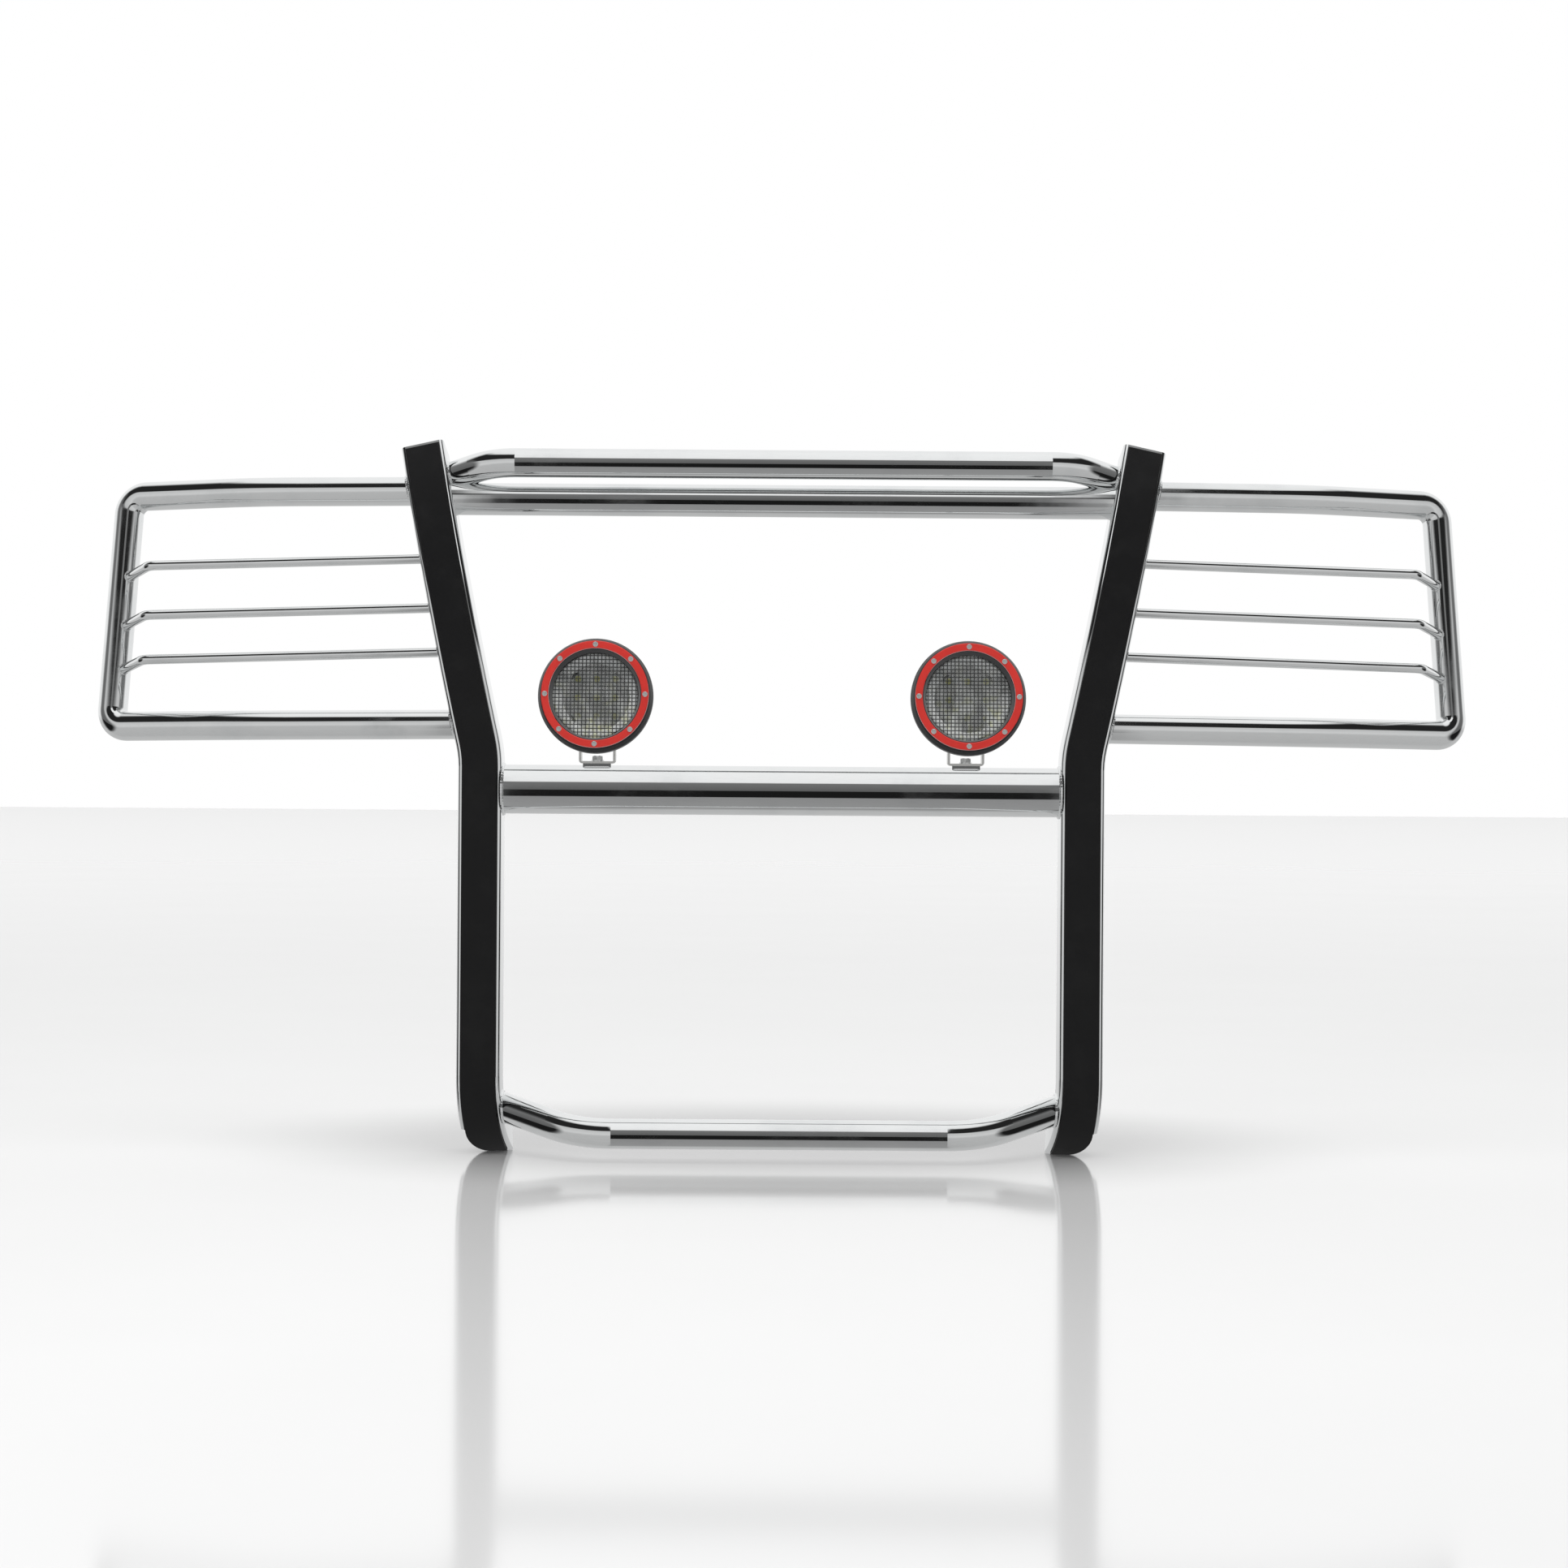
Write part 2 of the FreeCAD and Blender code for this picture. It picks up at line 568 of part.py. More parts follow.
# The bracket is an angle: its web lies against the tab, its flange against the frame.
angle_body = doc.addObject("PartDesign::Body", "angle")
angle_outline = new_sketch(angle_body, "XY_Plane")
add_outline(angle_outline, [("0", "0"), ("0", "-bracket_web"),
                            ("bracket_thickness", "-bracket_web"),
                            ("bracket_thickness", "-bracket_thickness"),
                            ("bracket_flange", "-bracket_thickness"), ("bracket_flange", "0")])
angle_pad = add_feature(angle_body, "Pad", angle_outline, "bracket_height", midplane=True)
flange_holes = new_sketch(angle_body, "XZ_Plane")
hole_across = f"hole_spacing_x / 2 - ({web_side})"
add_circle(flange_holes, hole_across, "hole_spacing_z / 2", "frame_hole_radius")
add_circle(flange_holes, hole_across, "-hole_spacing_z / 2", "frame_hole_radius")
add_feature(angle_body, "Pocket", flange_holes, "4 * bracket_thickness", midplane=True)
web_holes = new_sketch(angle_body, "YZ_Plane")
for sign in ("", "-"):
    add_circle(web_holes, "bracket_bolt_y - reach", f"{sign}bracket_bolt_spacing / 2",
               "bolt_hole_radius")
angle_web_pocket = add_feature(angle_body, "Pocket", web_holes, "4 * bracket_thickness",
                               midplane=True)
fillet_edges(angle_body, angle_web_pocket, "bracket_thickness * bend_share",
             lambda edge: edge.Length > 100 and abs(edge.CenterOfMass.x) < 0.01
             and abs(edge.CenterOfMass.y) < 0.01)
place(angle_body, web_side, "reach", "mount_height")
keep(angle_body, "frame_bracket_right")
keep(mirrored(angle_body, "angle_other"), "frame_bracket_left")


def hexagon(name, flats, height):
    return primitive("Prism", name, Circumradius=f"{flats} / sqrt(3)", Height=height)


def bored(name, outside, radius, length, start, height):
    """A washer or nut on a bracket bolt: the outside shape less the bolt's hole."""
    place(outside, start, "bracket_bolt_y", height, (0, 1, 0), "90")
    return cut(outside, crosswise_hole(f"{name}_bore", radius, start, length, height), name)


stack_start = f"{tab_side} - washer"
far_washer = f"{web_side} + bracket_thickness"
far_lock = f"{far_washer} + washer"
far_nut = f"{far_lock} + lock_washer"
shank_length = "bolt_head + 2 * washer + tab_thickness + bracket_thickness + lock_washer" \
               " + nut + bolt_overrun"
bolts, washers, lock_washers, nuts = [], [], [], []
for n, height in enumerate(bolt_heights):
    head = hexagon(f"head_{n}", "bolt_head_flats", "bolt_head")
    place(head, f"{stack_start} - bolt_head", "bracket_bolt_y", height, (0, 1, 0), "90")
    shank = crosswise_hole(f"shank_{n}", "bolt_radius", f"{stack_start} - bolt_head",
                           shank_length, height)
    bolts.append(fuse(head, shank, f"bolt_{n}"))
    for side, start in (("near", stack_start), ("far", far_washer)):
        disc = primitive("Cylinder", f"disc_{side}_{n}", Radius="washer_radius", Height="washer")
        washers.append(bored(f"washer_{side}_{n}", disc, "bolt_hole_radius", "washer", start,
                             height))
    disc = primitive("Cylinder", f"lock_disc_{n}", Radius="lock_washer_radius",
                     Height="lock_washer")
    lock_washers.append(bored(f"lock_washer_{n}", disc, "bolt_hole_radius", "lock_washer",
                              far_lock, height))
    block_hex = hexagon(f"nut_hex_{n}", "bolt_head_flats", "nut")
    nuts.append(bored(f"nut_{n}", block_hex, "bolt_radius", "nut", far_nut, height))
both_sides(bolts, "bracket_bolts")
both_sides(washers, "bracket_washers")
both_sides(lock_washers, "bracket_lock_washers")
both_sides(nuts, "bracket_nuts")


# ---- lamp seats on the centre cross tube ----

lamp_x = "lamp_spacing / 2"
tube_crown = "cross_height + cross_diameter / 2"
seat_top = f"{tube_crown} + seat_rise"
base_top = f"{seat_top} + lamp_bracket_sheet"

seat_block = primitive("Box", "seat_block", Length="seat_length", Width="seat_depth",
                       Height="cross_diameter / 2 + seat_rise")
place(seat_block, f"{lamp_x} - seat_length / 2", "-seat_depth / 2", "cross_height")
seat_round = primitive("Cylinder", "seat_round", Radius="cross_diameter / 2",
                       Height="4 * seat_length")
place(seat_round, f"{lamp_x} - 2 * seat_length", "0", "cross_height", (0, 1, 0), "90")
seat_tools = group([seat_round, insert_bore], "seat_tools")
seat = keep(cut(seat_block, seat_tools, "seat_drilled"), "lamp_seat_right")
keep(mirrored(seat, "seat_other"), "lamp_seat_left")


def upright_ring(name, outside, inside, start, length):
    """A ring about a lamp's vertical base bolt."""
    outer_disc = primitive("Cylinder", f"{name}_outside", Radius=outside, Height=length)
    inner_disc = primitive("Cylinder", f"{name}_inside", Radius=inside, Height=length)
    for disc in (outer_disc, inner_disc):
        place(disc, lamp_x, "0", start)
    return cut(outer_disc, inner_disc, name)


inner_crown = "cross_height + sqrt((cross_diameter / 2 - cross_wall) ^ 2 - insert_flare ^ 2)"
insert_sleeve = upright_ring("insert_sleeve", "insert_radius", "small_bolt_radius",
                             f"{seat_top} - insert_length", "insert_length")
insert_flange = upright_ring("insert_flange", "insert_flare", "small_bolt_radius",
                             f"{inner_crown} - insert_flare_length", "insert_flare_length")
both_sides([fuse(insert_sleeve, insert_flange, "insert")], "lamp_inserts")

washer_base = f"{base_top} + bracket_gap"
both_sides([upright_ring("base_washer", "small_washer_radius",
                         "small_bolt_radius + running_clearance", washer_base, "small_washer")],
           "lamp_base_washers")
base_head = hexagon("base_head", "small_bolt_flats", "small_bolt_head")
place(base_head, lamp_x, "0", f"{washer_base} + small_washer")
base_shank = primitive("Cylinder", "base_shank", Radius="small_bolt_radius",
                       Height="base_bolt_depth + lamp_bracket_sheet + bracket_gap"
                              " + small_washer + small_bolt_head")
place(base_shank, lamp_x, "0", f"{seat_top} - base_bolt_depth")
both_sides([fuse(base_head, base_shank, "base_bolt")], "lamp_base_bolts")


# ---- auxiliary lamps ----
# Each lamp piece is modelled about the lamp's pivot: its axis is Y, and the front faces -Y.

pivot_z = f"{seat_top} + pivot_height"


def lamp_body(name, side):
    return new_body(f"{name}_{side}")


def put_on_lamp(body, side, aimed=True):
    """Puts a body at its lamp's pivot, tilted with the lamp."""
    across = lamp_x if side == "right" else f"-({lamp_x})"
    return place(body, across, "0", pivot_z, (1, 0, 0), "-lamp_aim" if aimed else "0")


def make_lamp_bracket(side):
    """A thin U bracket: a base on the seat and two legs with round tops."""
    body = lamp_body("lamp_bracket", side)
    half, base, top = "lamp_bracket_width / 2", "-pivot_height", "leg_over"
    inside = f"{half} - lamp_bracket_sheet"
    floor = f"{base} + lamp_bracket_sheet"
    shape = new_sketch(body, "XZ_Plane")
    add_outline(shape, [(f"-({half})", top), (f"-({half})", base), (half, base), (half, top),
                        (inside, top), (inside, floor), (f"-({inside})", floor),
                        (f"-({inside})", top)])
    add_feature(body, "Pad", shape, "lamp_bracket_depth", midplane=True)
    leg_holes = new_sketch(body, "YZ_Plane")
    add_circle(leg_holes, "0", "0", "small_bolt_radius + running_clearance")
    add_feature(body, "Pocket", leg_holes, "2 * lamp_bracket_width", midplane=True)
    base_hole = new_sketch(body, "XY_Plane", base)
    add_circle(base_hole, "0", "0", "small_bolt_radius + running_clearance")
    drilled = add_feature(body, "Pocket", base_hole, "4 * lamp_bracket_sheet", midplane=True)
    low = -size("pivot_height")
    bends = fillet_edges(body, drilled, "lamp_bracket_bend",
                         lambda edge: abs(edge.CenterOfMass.z - low) < 0.01
                         and abs(abs(edge.CenterOfMass.x) - size(half)) < 0.01)
    fillet_edges(body, bends, "lamp_bracket_depth * leg_round",
                 lambda edge: abs(edge.CenterOfMass.z - size(top)) < 0.01
                 and abs(abs(edge.CenterOfMass.y) - size("lamp_bracket_depth / 2")) < 0.01)
    put_on_lamp(body, side, aimed=False)


def screw_holes(body, start, length):
    """Pockets for the bezel screws, from a plane towards the front."""
    flat = new_sketch(body, "XZ_Plane", start)
    add_circle(flat, "screw_circle", "0", "screw_radius")
    hole = add_feature(body, "Pocket", flat, length, midplane=True)
    return add_polar(body, [hole], "screw_count")


def make_housing(side):
    """A die-cast barrel with cooling ribs round its back and a lug for the bracket."""
    body = lamp_body("lamp_housing", side)
    front, back = "-lamp_reach", "-lamp_back"
    outline = [("0", back), ("lamp_back_radius", back)]
    ribs = round(size("housing_ribs"))
    # How far along its pitch each rib's crest and groove begin and end.
    rib_points = ((0.15, False), (0.5, False), (0.55, True), (0.95, True))
    for rib in range(ribs):
        for part_way, in_groove in rib_points:
            share = (rib + part_way) / ribs
            radius = f"lamp_back_radius + {share} * (lamp_radius - lamp_back_radius)"
            along = f"-lamp_back - {share} * (lamp_barrel_back - lamp_back)"
            if in_groove:
                radius = f"{radius} - rib_depth"
            outline.append((radius, along))
    outline += [("lamp_radius", "-lamp_barrel_back"), ("lamp_radius", "-lamp_barrel_front"),
                ("lamp_front_radius", "-lamp_reach + front_chamfer"),
                ("lamp_front_radius - front_edge", front),
                ("lamp_bore", front), ("lamp_bore", "-lamp_reach + lens_depth + lens"),
                ("lamp_shoulder", "-lamp_reach + lens_depth + lens"),
                ("lamp_shoulder", "-lamp_floor - cavity_depth"),
                ("lamp_shoulder - cavity_slope", "-lamp_floor"),
                ("0", "-lamp_floor")]
    add_turned(body, outline)
    lug = new_sketch(body, "YZ_Plane")
    add_outline(lug, [("lug_round", "-lug_half_height + lug_chamfer"),
                      ("lug_round", "lug_half_height - lug_chamfer"),
                      ("lug_round - lug_chamfer", "lug_half_height"),
                      ("-lamp_back - lug_root", "lug_half_height"),
                      ("-lamp_back - lug_root", "-lug_half_height"),
                      ("lug_round - lug_chamfer", "-lug_half_height")])
    add_feature(body, "Pad", lug, "lamp_bracket_width - 2 * lamp_bracket_sheet - 2 * lug_gap",
                midplane=True)
    bore = new_sketch(body, "YZ_Plane")
    add_circle(bore, "0", "0", "small_bolt_radius")
    add_feature(body, "Pocket", bore, "2 * lamp_bracket_width", midplane=True)
    screw_holes(body, "lamp_reach", "2 * (screw_length - bezel)")
    put_on_lamp(body, side)


def make_turned_piece(name, side, outline):
    body = lamp_body(name, side)
    add_turned(body, outline)
    put_on_lamp(body, side)
    return body


def make_bezel(side):
    """The flat coloured ring that clamps the lens."""
    body = lamp_body("lamp_bezel", side)
    add_turned(body, [("lamp_bore", "-lamp_reach"), ("bezel_radius", "-lamp_reach"),
                      ("bezel_radius", "-lamp_reach - bezel + bezel_chamfer"),
                      ("bezel_radius - bezel_chamfer", "-lamp_reach - bezel"),
                      ("lamp_bore + bezel_chamfer", "-lamp_reach - bezel"),
                      ("lamp_bore", "-lamp_reach - bezel + bezel_chamfer")])
    screw_holes(body, "lamp_reach + bezel", "4 * bezel")
    put_on_lamp(body, side)


def make_screws(side):
    """The bezel's pan-head screws, a ring of separate solids."""
    body = lamp_body("bezel_screws", side)
    head_sketch = new_sketch(body, "XZ_Plane", "lamp_reach + bezel")
    add_circle(head_sketch, "screw_circle", "0", "screw_head_radius")
    head = add_feature(body, "Pad", head_sketch, "screw_head")
    shank_sketch = new_sketch(body, "XZ_Plane", "lamp_reach + bezel")
    add_circle(shank_sketch, "screw_circle", "0", "screw_radius")
    shank = add_feature(body, "Pad", shank_sketch, "screw_length", backwards=True)
    add_polar(body, [head, shank], "screw_count")
    put_on_lamp(body, side)


def grid_of_circles(flat, radius):
    """Nine circles, three by three, where the light sources are."""
    for column in ("-emitter_spacing", "0", "emitter_spacing"):
        for line in ("-emitter_spacing", "0", "emitter_spacing"):
            add_circle(flat, column, line, radius)


def make_reflector(side):
    """A bright dish with a window over each light source."""
    body = lamp_body("lamp_reflector", side)
    edge_y = "-lamp_reach + lens_depth + lens + lens_gap"
    rim = "lamp_shoulder - lens_gap"
    add_turned(body, [("0", "-reflector_floor"),
                      ("reflector_well", "-reflector_floor"), (rim, edge_y),
                      (f"{rim} - reflector_sheet", edge_y),
                      ("reflector_well - reflector_sheet", "-reflector_floor - reflector_sheet"),
                      ("0", "-reflector_floor - reflector_sheet")])
    windows = new_sketch(body, "XZ_Plane", "reflector_floor")
    grid_of_circles(windows, "emitter_window")
    add_feature(body, "Pocket", windows, "4 * reflector_sheet", midplane=True)
    put_on_lamp(body, side)


def make_emitters(side):
    body = lamp_body("led_emitters", side)
    flat = new_sketch(body, "XZ_Plane", "lamp_floor + board")
    grid_of_circles(flat, "emitter_radius")
    add_feature(body, "Pad", flat, "emitter")
    put_on_lamp(body, side)


def make_gland(side):
    """The cable gland at the back: a screwed body, a nut and a blind cable bore."""
    body = lamp_body("cable_gland", side)
    levels = [("gland_nut_radius", "0", "gland_nut"), ("gland_radius", "0", "gland_length")]
    for radius, start, length in levels:
        flat = new_sketch(body, "XZ_Plane", f"lamp_back - {start}")
        add_circle(flat, "0", "-gland_drop", radius)
        add_feature(body, "Pad", flat, length, backwards=True)
    bore = new_sketch(body, "XZ_Plane", "lamp_back - gland_length")
    add_circle(bore, "0", "-gland_drop", "gland_bore")
    add_feature(body, "Pocket", bore, "2 * (gland_length - 2)", midplane=True)
    put_on_lamp(body, side)


def make_tilt_hardware(side):
    """A bolt and a washer on each leg of the bracket."""
    leg_face = "lamp_bracket_width / 2 + bracket_gap"
    bolts_body = lamp_body("tilt_bolts", side)
    washers_body = lamp_body("tilt_washers", side)
    for sign, backwards in (("", False), ("-", True)):
        seat_plane = f"{sign}({leg_face})"
        ring_sketch = new_sketch(washers_body, "YZ_Plane", seat_plane)
        add_circle(ring_sketch, "0", "0", "small_washer_radius")
        add_circle(ring_sketch, "0", "0", "small_bolt_radius + running_clearance")
        add_feature(washers_body, "Pad", ring_sketch, "small_washer", backwards=backwards)
        head_plane = f"{sign}({leg_face} + small_washer)"
        head_sketch = new_sketch(bolts_body, "YZ_Plane", head_plane)
        corners = [(f"small_bolt_flats / sqrt(3) * cos({turn})",
                    f"small_bolt_flats / sqrt(3) * sin({turn})") for turn in range(30, 390, 60)]
        add_outline(head_sketch, corners)
        add_feature(bolts_body, "Pad", head_sketch, "small_bolt_head", backwards=backwards)
        shank_sketch = new_sketch(bolts_body, "YZ_Plane", head_plane)
        add_circle(shank_sketch, "0", "0", "small_bolt_radius")
        add_feature(bolts_body, "Pad", shank_sketch,
                    "small_washer + bracket_gap + lamp_bracket_sheet + tilt_bolt_depth",
                    backwards=not backwards)
    put_on_lamp(bolts_body, side)
    put_on_lamp(washers_body, side)


for side in ("left", "right"):
    make_lamp_bracket(side)
    make_housing(side)
    make_bezel(side)
    make_screws(side)
    lens_front = "-lamp_reach + lens_depth"
    make_turned_piece("lamp_lens", side, [
        ("0", f"{lens_front} - lens_crown"),
        ("lamp_shoulder * crown_reach", f"{lens_front} - crown_share * lens_crown"),
        ("lamp_shoulder", lens_front),
        ("lamp_bore - lens_gap", lens_front), ("lamp_bore - lens_gap", f"{lens_front} + lens"),
        ("0", f"{lens_front} + lens")])
    make_turned_piece("lens_ring", side, [
        ("lamp_shoulder + ring_foot", lens_front), ("lamp_bore - ring_gap", lens_front),
        ("lamp_bore - ring_gap", "-lamp_reach - ring_lip"),
        ("lamp_bore - ring_gap - ring_wall", "-lamp_reach - ring_lip")])
    make_reflector(side)
    make_turned_piece("led_board", side, [
        ("0", "-lamp_floor"), ("lamp_shoulder - board_margin", "-lamp_floor"),
        ("lamp_shoulder - board_margin", "-lamp_floor - board"), ("0", "-lamp_floor - board")])
    make_emitters(side)
    make_gland(side)
    make_tilt_hardware(side)


# ---- checks, then one STEP file for each piece ----

doc.recompute()
for item in doc.Objects:
    if "Invalid" in item.State or "Error" in item.State:
        raise RuntimeError(f"{item.Name} did not build: {item.State}")
for piece in pieces:
    if piece.Shape.isNull() or not piece.Shape.isValid():
        raise RuntimeError(f"{piece.Label} has no valid shape")
for piece in pieces:
    piece.Shape.exportStep(f"parts/{piece.Label}.step")
print(len(pieces), "pieces written")
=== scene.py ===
import bpy
import json
import math
import numpy as np
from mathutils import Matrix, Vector

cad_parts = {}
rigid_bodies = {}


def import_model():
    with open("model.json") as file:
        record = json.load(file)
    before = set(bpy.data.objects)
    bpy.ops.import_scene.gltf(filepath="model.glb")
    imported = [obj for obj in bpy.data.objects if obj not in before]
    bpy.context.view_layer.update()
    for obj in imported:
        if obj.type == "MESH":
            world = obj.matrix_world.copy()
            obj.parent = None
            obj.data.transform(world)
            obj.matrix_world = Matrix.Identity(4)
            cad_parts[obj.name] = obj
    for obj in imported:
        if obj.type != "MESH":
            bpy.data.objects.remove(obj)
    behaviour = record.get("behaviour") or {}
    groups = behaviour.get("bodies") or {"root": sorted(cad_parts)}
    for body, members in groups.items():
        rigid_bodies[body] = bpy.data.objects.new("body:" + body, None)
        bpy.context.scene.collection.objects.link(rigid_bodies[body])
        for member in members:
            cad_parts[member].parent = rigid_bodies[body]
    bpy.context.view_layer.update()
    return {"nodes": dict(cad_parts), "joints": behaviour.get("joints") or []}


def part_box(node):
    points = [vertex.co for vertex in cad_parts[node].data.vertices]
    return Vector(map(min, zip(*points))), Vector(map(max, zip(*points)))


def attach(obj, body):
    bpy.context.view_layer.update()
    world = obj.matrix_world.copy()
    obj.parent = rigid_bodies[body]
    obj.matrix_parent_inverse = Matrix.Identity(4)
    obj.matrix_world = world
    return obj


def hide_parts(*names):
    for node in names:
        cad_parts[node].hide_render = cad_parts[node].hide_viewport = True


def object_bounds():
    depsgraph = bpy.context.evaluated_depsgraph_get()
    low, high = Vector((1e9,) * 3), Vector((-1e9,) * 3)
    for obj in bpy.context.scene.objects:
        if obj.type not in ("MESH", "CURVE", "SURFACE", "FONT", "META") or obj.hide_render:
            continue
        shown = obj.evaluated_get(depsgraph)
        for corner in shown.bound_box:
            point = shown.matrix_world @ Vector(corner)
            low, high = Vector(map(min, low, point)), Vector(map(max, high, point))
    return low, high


# Polished grille guard with two auxiliary lamps. Metres, +Z up, the front faces -Y.

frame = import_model()
nodes = frame["nodes"]
sides = ("left", "right")
mm = 0.001


# Studio: camera, light dome, two soft panels and the floor

camera = {
    "place": (0.0, -3.777, 0.2664),
    "turn": (90.0, -0.4, 0.0),       # looks level along +Y, rolled a little
    "lens": 64.4,
    "sensor": 36.0,
    "shift": (0.0016, -0.0083),
    "far": 200.0,
}
dome = {
    # elevation in degrees and brightness there, for what stands before, beside and behind the guard
    "frontStops": [(-90, 0.34), (-33, 0.30), (-31, 0.012), (-2, 0.012), (-0.5, 0.13),
                   (34, 0.20), (38, 1.0), (90, 1.05)],
    "sideStops": [(-90, 0.5), (-12, 0.55), (0, 0.72), (24, 0.62), (28, 0.02), (58, 0.02),
                  (66, 0.95), (90, 1.05)],
    "backStops": [(-90, 0.55), (-8, 0.6), (0, 0.95), (90, 1.05)],
    "turnOver": (0.0, 0.35),         # how far back the front light gives way to the back light
    "spread": (0.095, 0.125),        # how far across the front light gives way to the side light
    "corners": (0.78, 0.90),         # and where it comes back, at right angles to the guard
    "seen": 1.0,                     # brightness of the backdrop in the picture itself
}
panels = {
    "overhead": {"place": (0.0, -1.1, 3.0), "aim": (0.0, -0.1, 0.2), "size": (3.4, 1.8),
                 "power": 42},
    "front": {"place": (-1.2, -3.6, 1.9), "aim": (0.0, 0.0, 0.2), "size": (1.4, 1.4),
              "power": 16},
}
floorCard = {
    "half": 30.0, "gap": 0.0004, "gloss": 0.09, "specular": 0.6,
    "paintedShadow": (0.40, 0.40, 0.40, 1), "paper": (0.97, 0.97, 0.97, 1),
    "paintedShadowScale": (1.2, 1.9, 0.0), "paintedShadowEdge": (0.35, 1.0),   # the painted shadow under the guard
    "fleckScale": 1.5, "flecks": 0.1,
}


class Wire:
    # One socket of a shader's node tree. Sums on wires add Math nodes.
    def __init__(self, tree, socket=None):
        self.tree = tree
        self.socket = socket

    def node(self, kind, settings=None, inputs=None, output=0):
        made = self.tree.nodes.new(kind)
        for name, value in (settings or {}).items():
            if name == "stops":
                self.setStops(made, value)
            else:
                setattr(made, name, value)
        for name, value in (inputs or {}).items():
            if isinstance(value, Wire):
                self.tree.links.new(value.socket, made.inputs[name])
            else:
                made.inputs[name].default_value = value
        return Wire(self.tree, made.outputs[output]) if len(made.outputs) else made

    def setStops(self, made, stops):
        # a grey ramp from pairs of position and brightness
        elements = made.color_ramp.elements
        while len(elements) < len(stops):
            elements.new(1.0)
        for element, (position, value) in zip(elements, stops):
            element.position = position
            element.color = (value, value, value, 1.0)

    def math(self, operation, *numbers):
        return self.node("ShaderNodeMath", {"operation": operation}, dict(enumerate(numbers)))

    def __add__(self, other):
        return self.math("ADD", self, other)

    def __radd__(self, other):
        return self.math("ADD", other, self)

    def __sub__(self, other):
        return self.math("SUBTRACT", self, other)

    def __rsub__(self, other):
        return self.math("SUBTRACT", other, self)

    def __mul__(self, other):
        return self.math("MULTIPLY", self, other)

    def __rmul__(self, other):
        return self.math("MULTIPLY", other, self)

    def __truediv__(self, other):
        return self.math("DIVIDE", self, other)

    def __rtruediv__(self, other):
        return self.math("DIVIDE", other, self)

    def part(self, index):
        return self.node("ShaderNodeSeparateXYZ", None, {0: self}, index)

    def between(self, low, high, outLow=0.0, outHigh=1.0):
        # eases from outLow to outHigh while the value goes from low to high
        return self.node("ShaderNodeMapRange", {"interpolation_type": "SMOOTHSTEP"},
                         {"Value": self, "From Min": low, "From Max": high,
                          "To Min": outLow, "To Max": outHigh})

    def scaled(self, x, y, z):
        return self.node("ShaderNodeMapping", None, {"Vector": self, "Scale": (x, y, z)})

    def noise(self, scale, detail=3.0, rough=0.55):
        return self.node("ShaderNodeTexNoise", None,
                         {"Vector": self, "Scale": scale, "Detail": detail, "Roughness": rough})

    def blend(self, dark, light):
        # a colour between two, the wire being how much of the second
        return self.node("ShaderNodeMix", {"data_type": "RGBA"}, {0: self, 6: dark, 7: light}, 2)


def makeCamera():
    data = bpy.data.cameras.new("front_camera")
    data.sensor_width = camera["sensor"]
    data.lens = camera["lens"]
    data.shift_x, data.shift_y = camera["shift"]
    data.clip_end = camera["far"]
    thing = bpy.data.objects.new("front_camera", data)
    thing.location = camera["place"]
    thing.rotation_euler = [math.radians(a) for a in camera["turn"]]
    bpy.context.scene.collection.objects.link(thing)
    bpy.context.scene.camera = thing


def makeDome():
    world = bpy.data.worlds.new("studio_dome")
    world.use_nodes = True
    bpy.context.scene.world = world
    world.node_tree.nodes.clear()
    start = Wire(world.node_tree)
    heading = start.node("ShaderNodeTexCoord")
    height = start.math("ARCSINE", heading.part(2)) / math.pi + 0.5
    lights = [start.node("ShaderNodeValToRGB",
                         {"stops": [(a / 180 + 0.5, v) for a, v in dome[name]]}, {0: height})
              for name in ("frontStops", "sideStops", "backStops")]
    width = start.math("ABSOLUTE", heading.part(0))
    across = width.between(*dome["spread"]) * width.between(*dome["corners"], 1.0, 0.0)
    back = heading.part(1).between(*dome["turnOver"])
    around = back.blend(across.blend(*lights[:2]), lights[2])
    straight = start.node("ShaderNodeLightPath")
    shown = straight.blend(around, (dome["seen"],) * 3 + (1.0,))
    sky = start.node("ShaderNodeBackground", None, {"Color": shown, "Strength": 1.0})
    start.node("ShaderNodeOutputWorld", None, {"Surface": sky})


def makePanels():
    for name, panel in panels.items():
        data = bpy.data.lights.new(name + "_panel", "AREA")
        data.shape = "RECTANGLE"
        data.size, data.size_y = panel["size"]
        data.energy = panel["power"]
        thing = bpy.data.objects.new(name + "_panel", data)
        thing.location = panel["place"]
        aim = Vector(panel["aim"]) - thing.location
        thing.rotation_euler = aim.to_track_quat("-Z", "Y").to_euler()
        thing.visible_glossy = False
        bpy.context.scene.collection.objects.link(thing)


def makeFloor():
    half = floorCard["half"]
    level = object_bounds()[0].z - floorCard["gap"]
    mesh = bpy.data.meshes.new("studio_floor")
    mesh.from_pydata([(-half, -half, level), (half, -half, level),
                      (half, half, level), (-half, half, level)], [], [(0, 1, 2, 3)])
    card = bpy.data.objects.new("studio_floor", mesh)
    bpy.context.scene.collection.objects.link(card)
    material, spot = newMaterial("studio_floor")
    # painted shadow: the floor's colour darkens from the paper tone to grey towards the guard
    far = spot.node("ShaderNodeVectorMath", {"operation": "LENGTH"},
                    {0: spot.scaled(*floorCard["paintedShadowScale"])}, 1).between(*floorCard["paintedShadowEdge"])
    flecks = floorCard["flecks"]
    paper = (far * (1 - flecks) + spot.noise(floorCard["fleckScale"]) * flecks).blend(
        floorCard["paintedShadow"], floorCard["paper"])
    shader(spot, {"Base Color": paper, "Roughness": floorCard["gloss"],
                  "Specular IOR Level": floorCard["specular"]})
    mesh.materials.append(material)
    card.visible_glossy = False


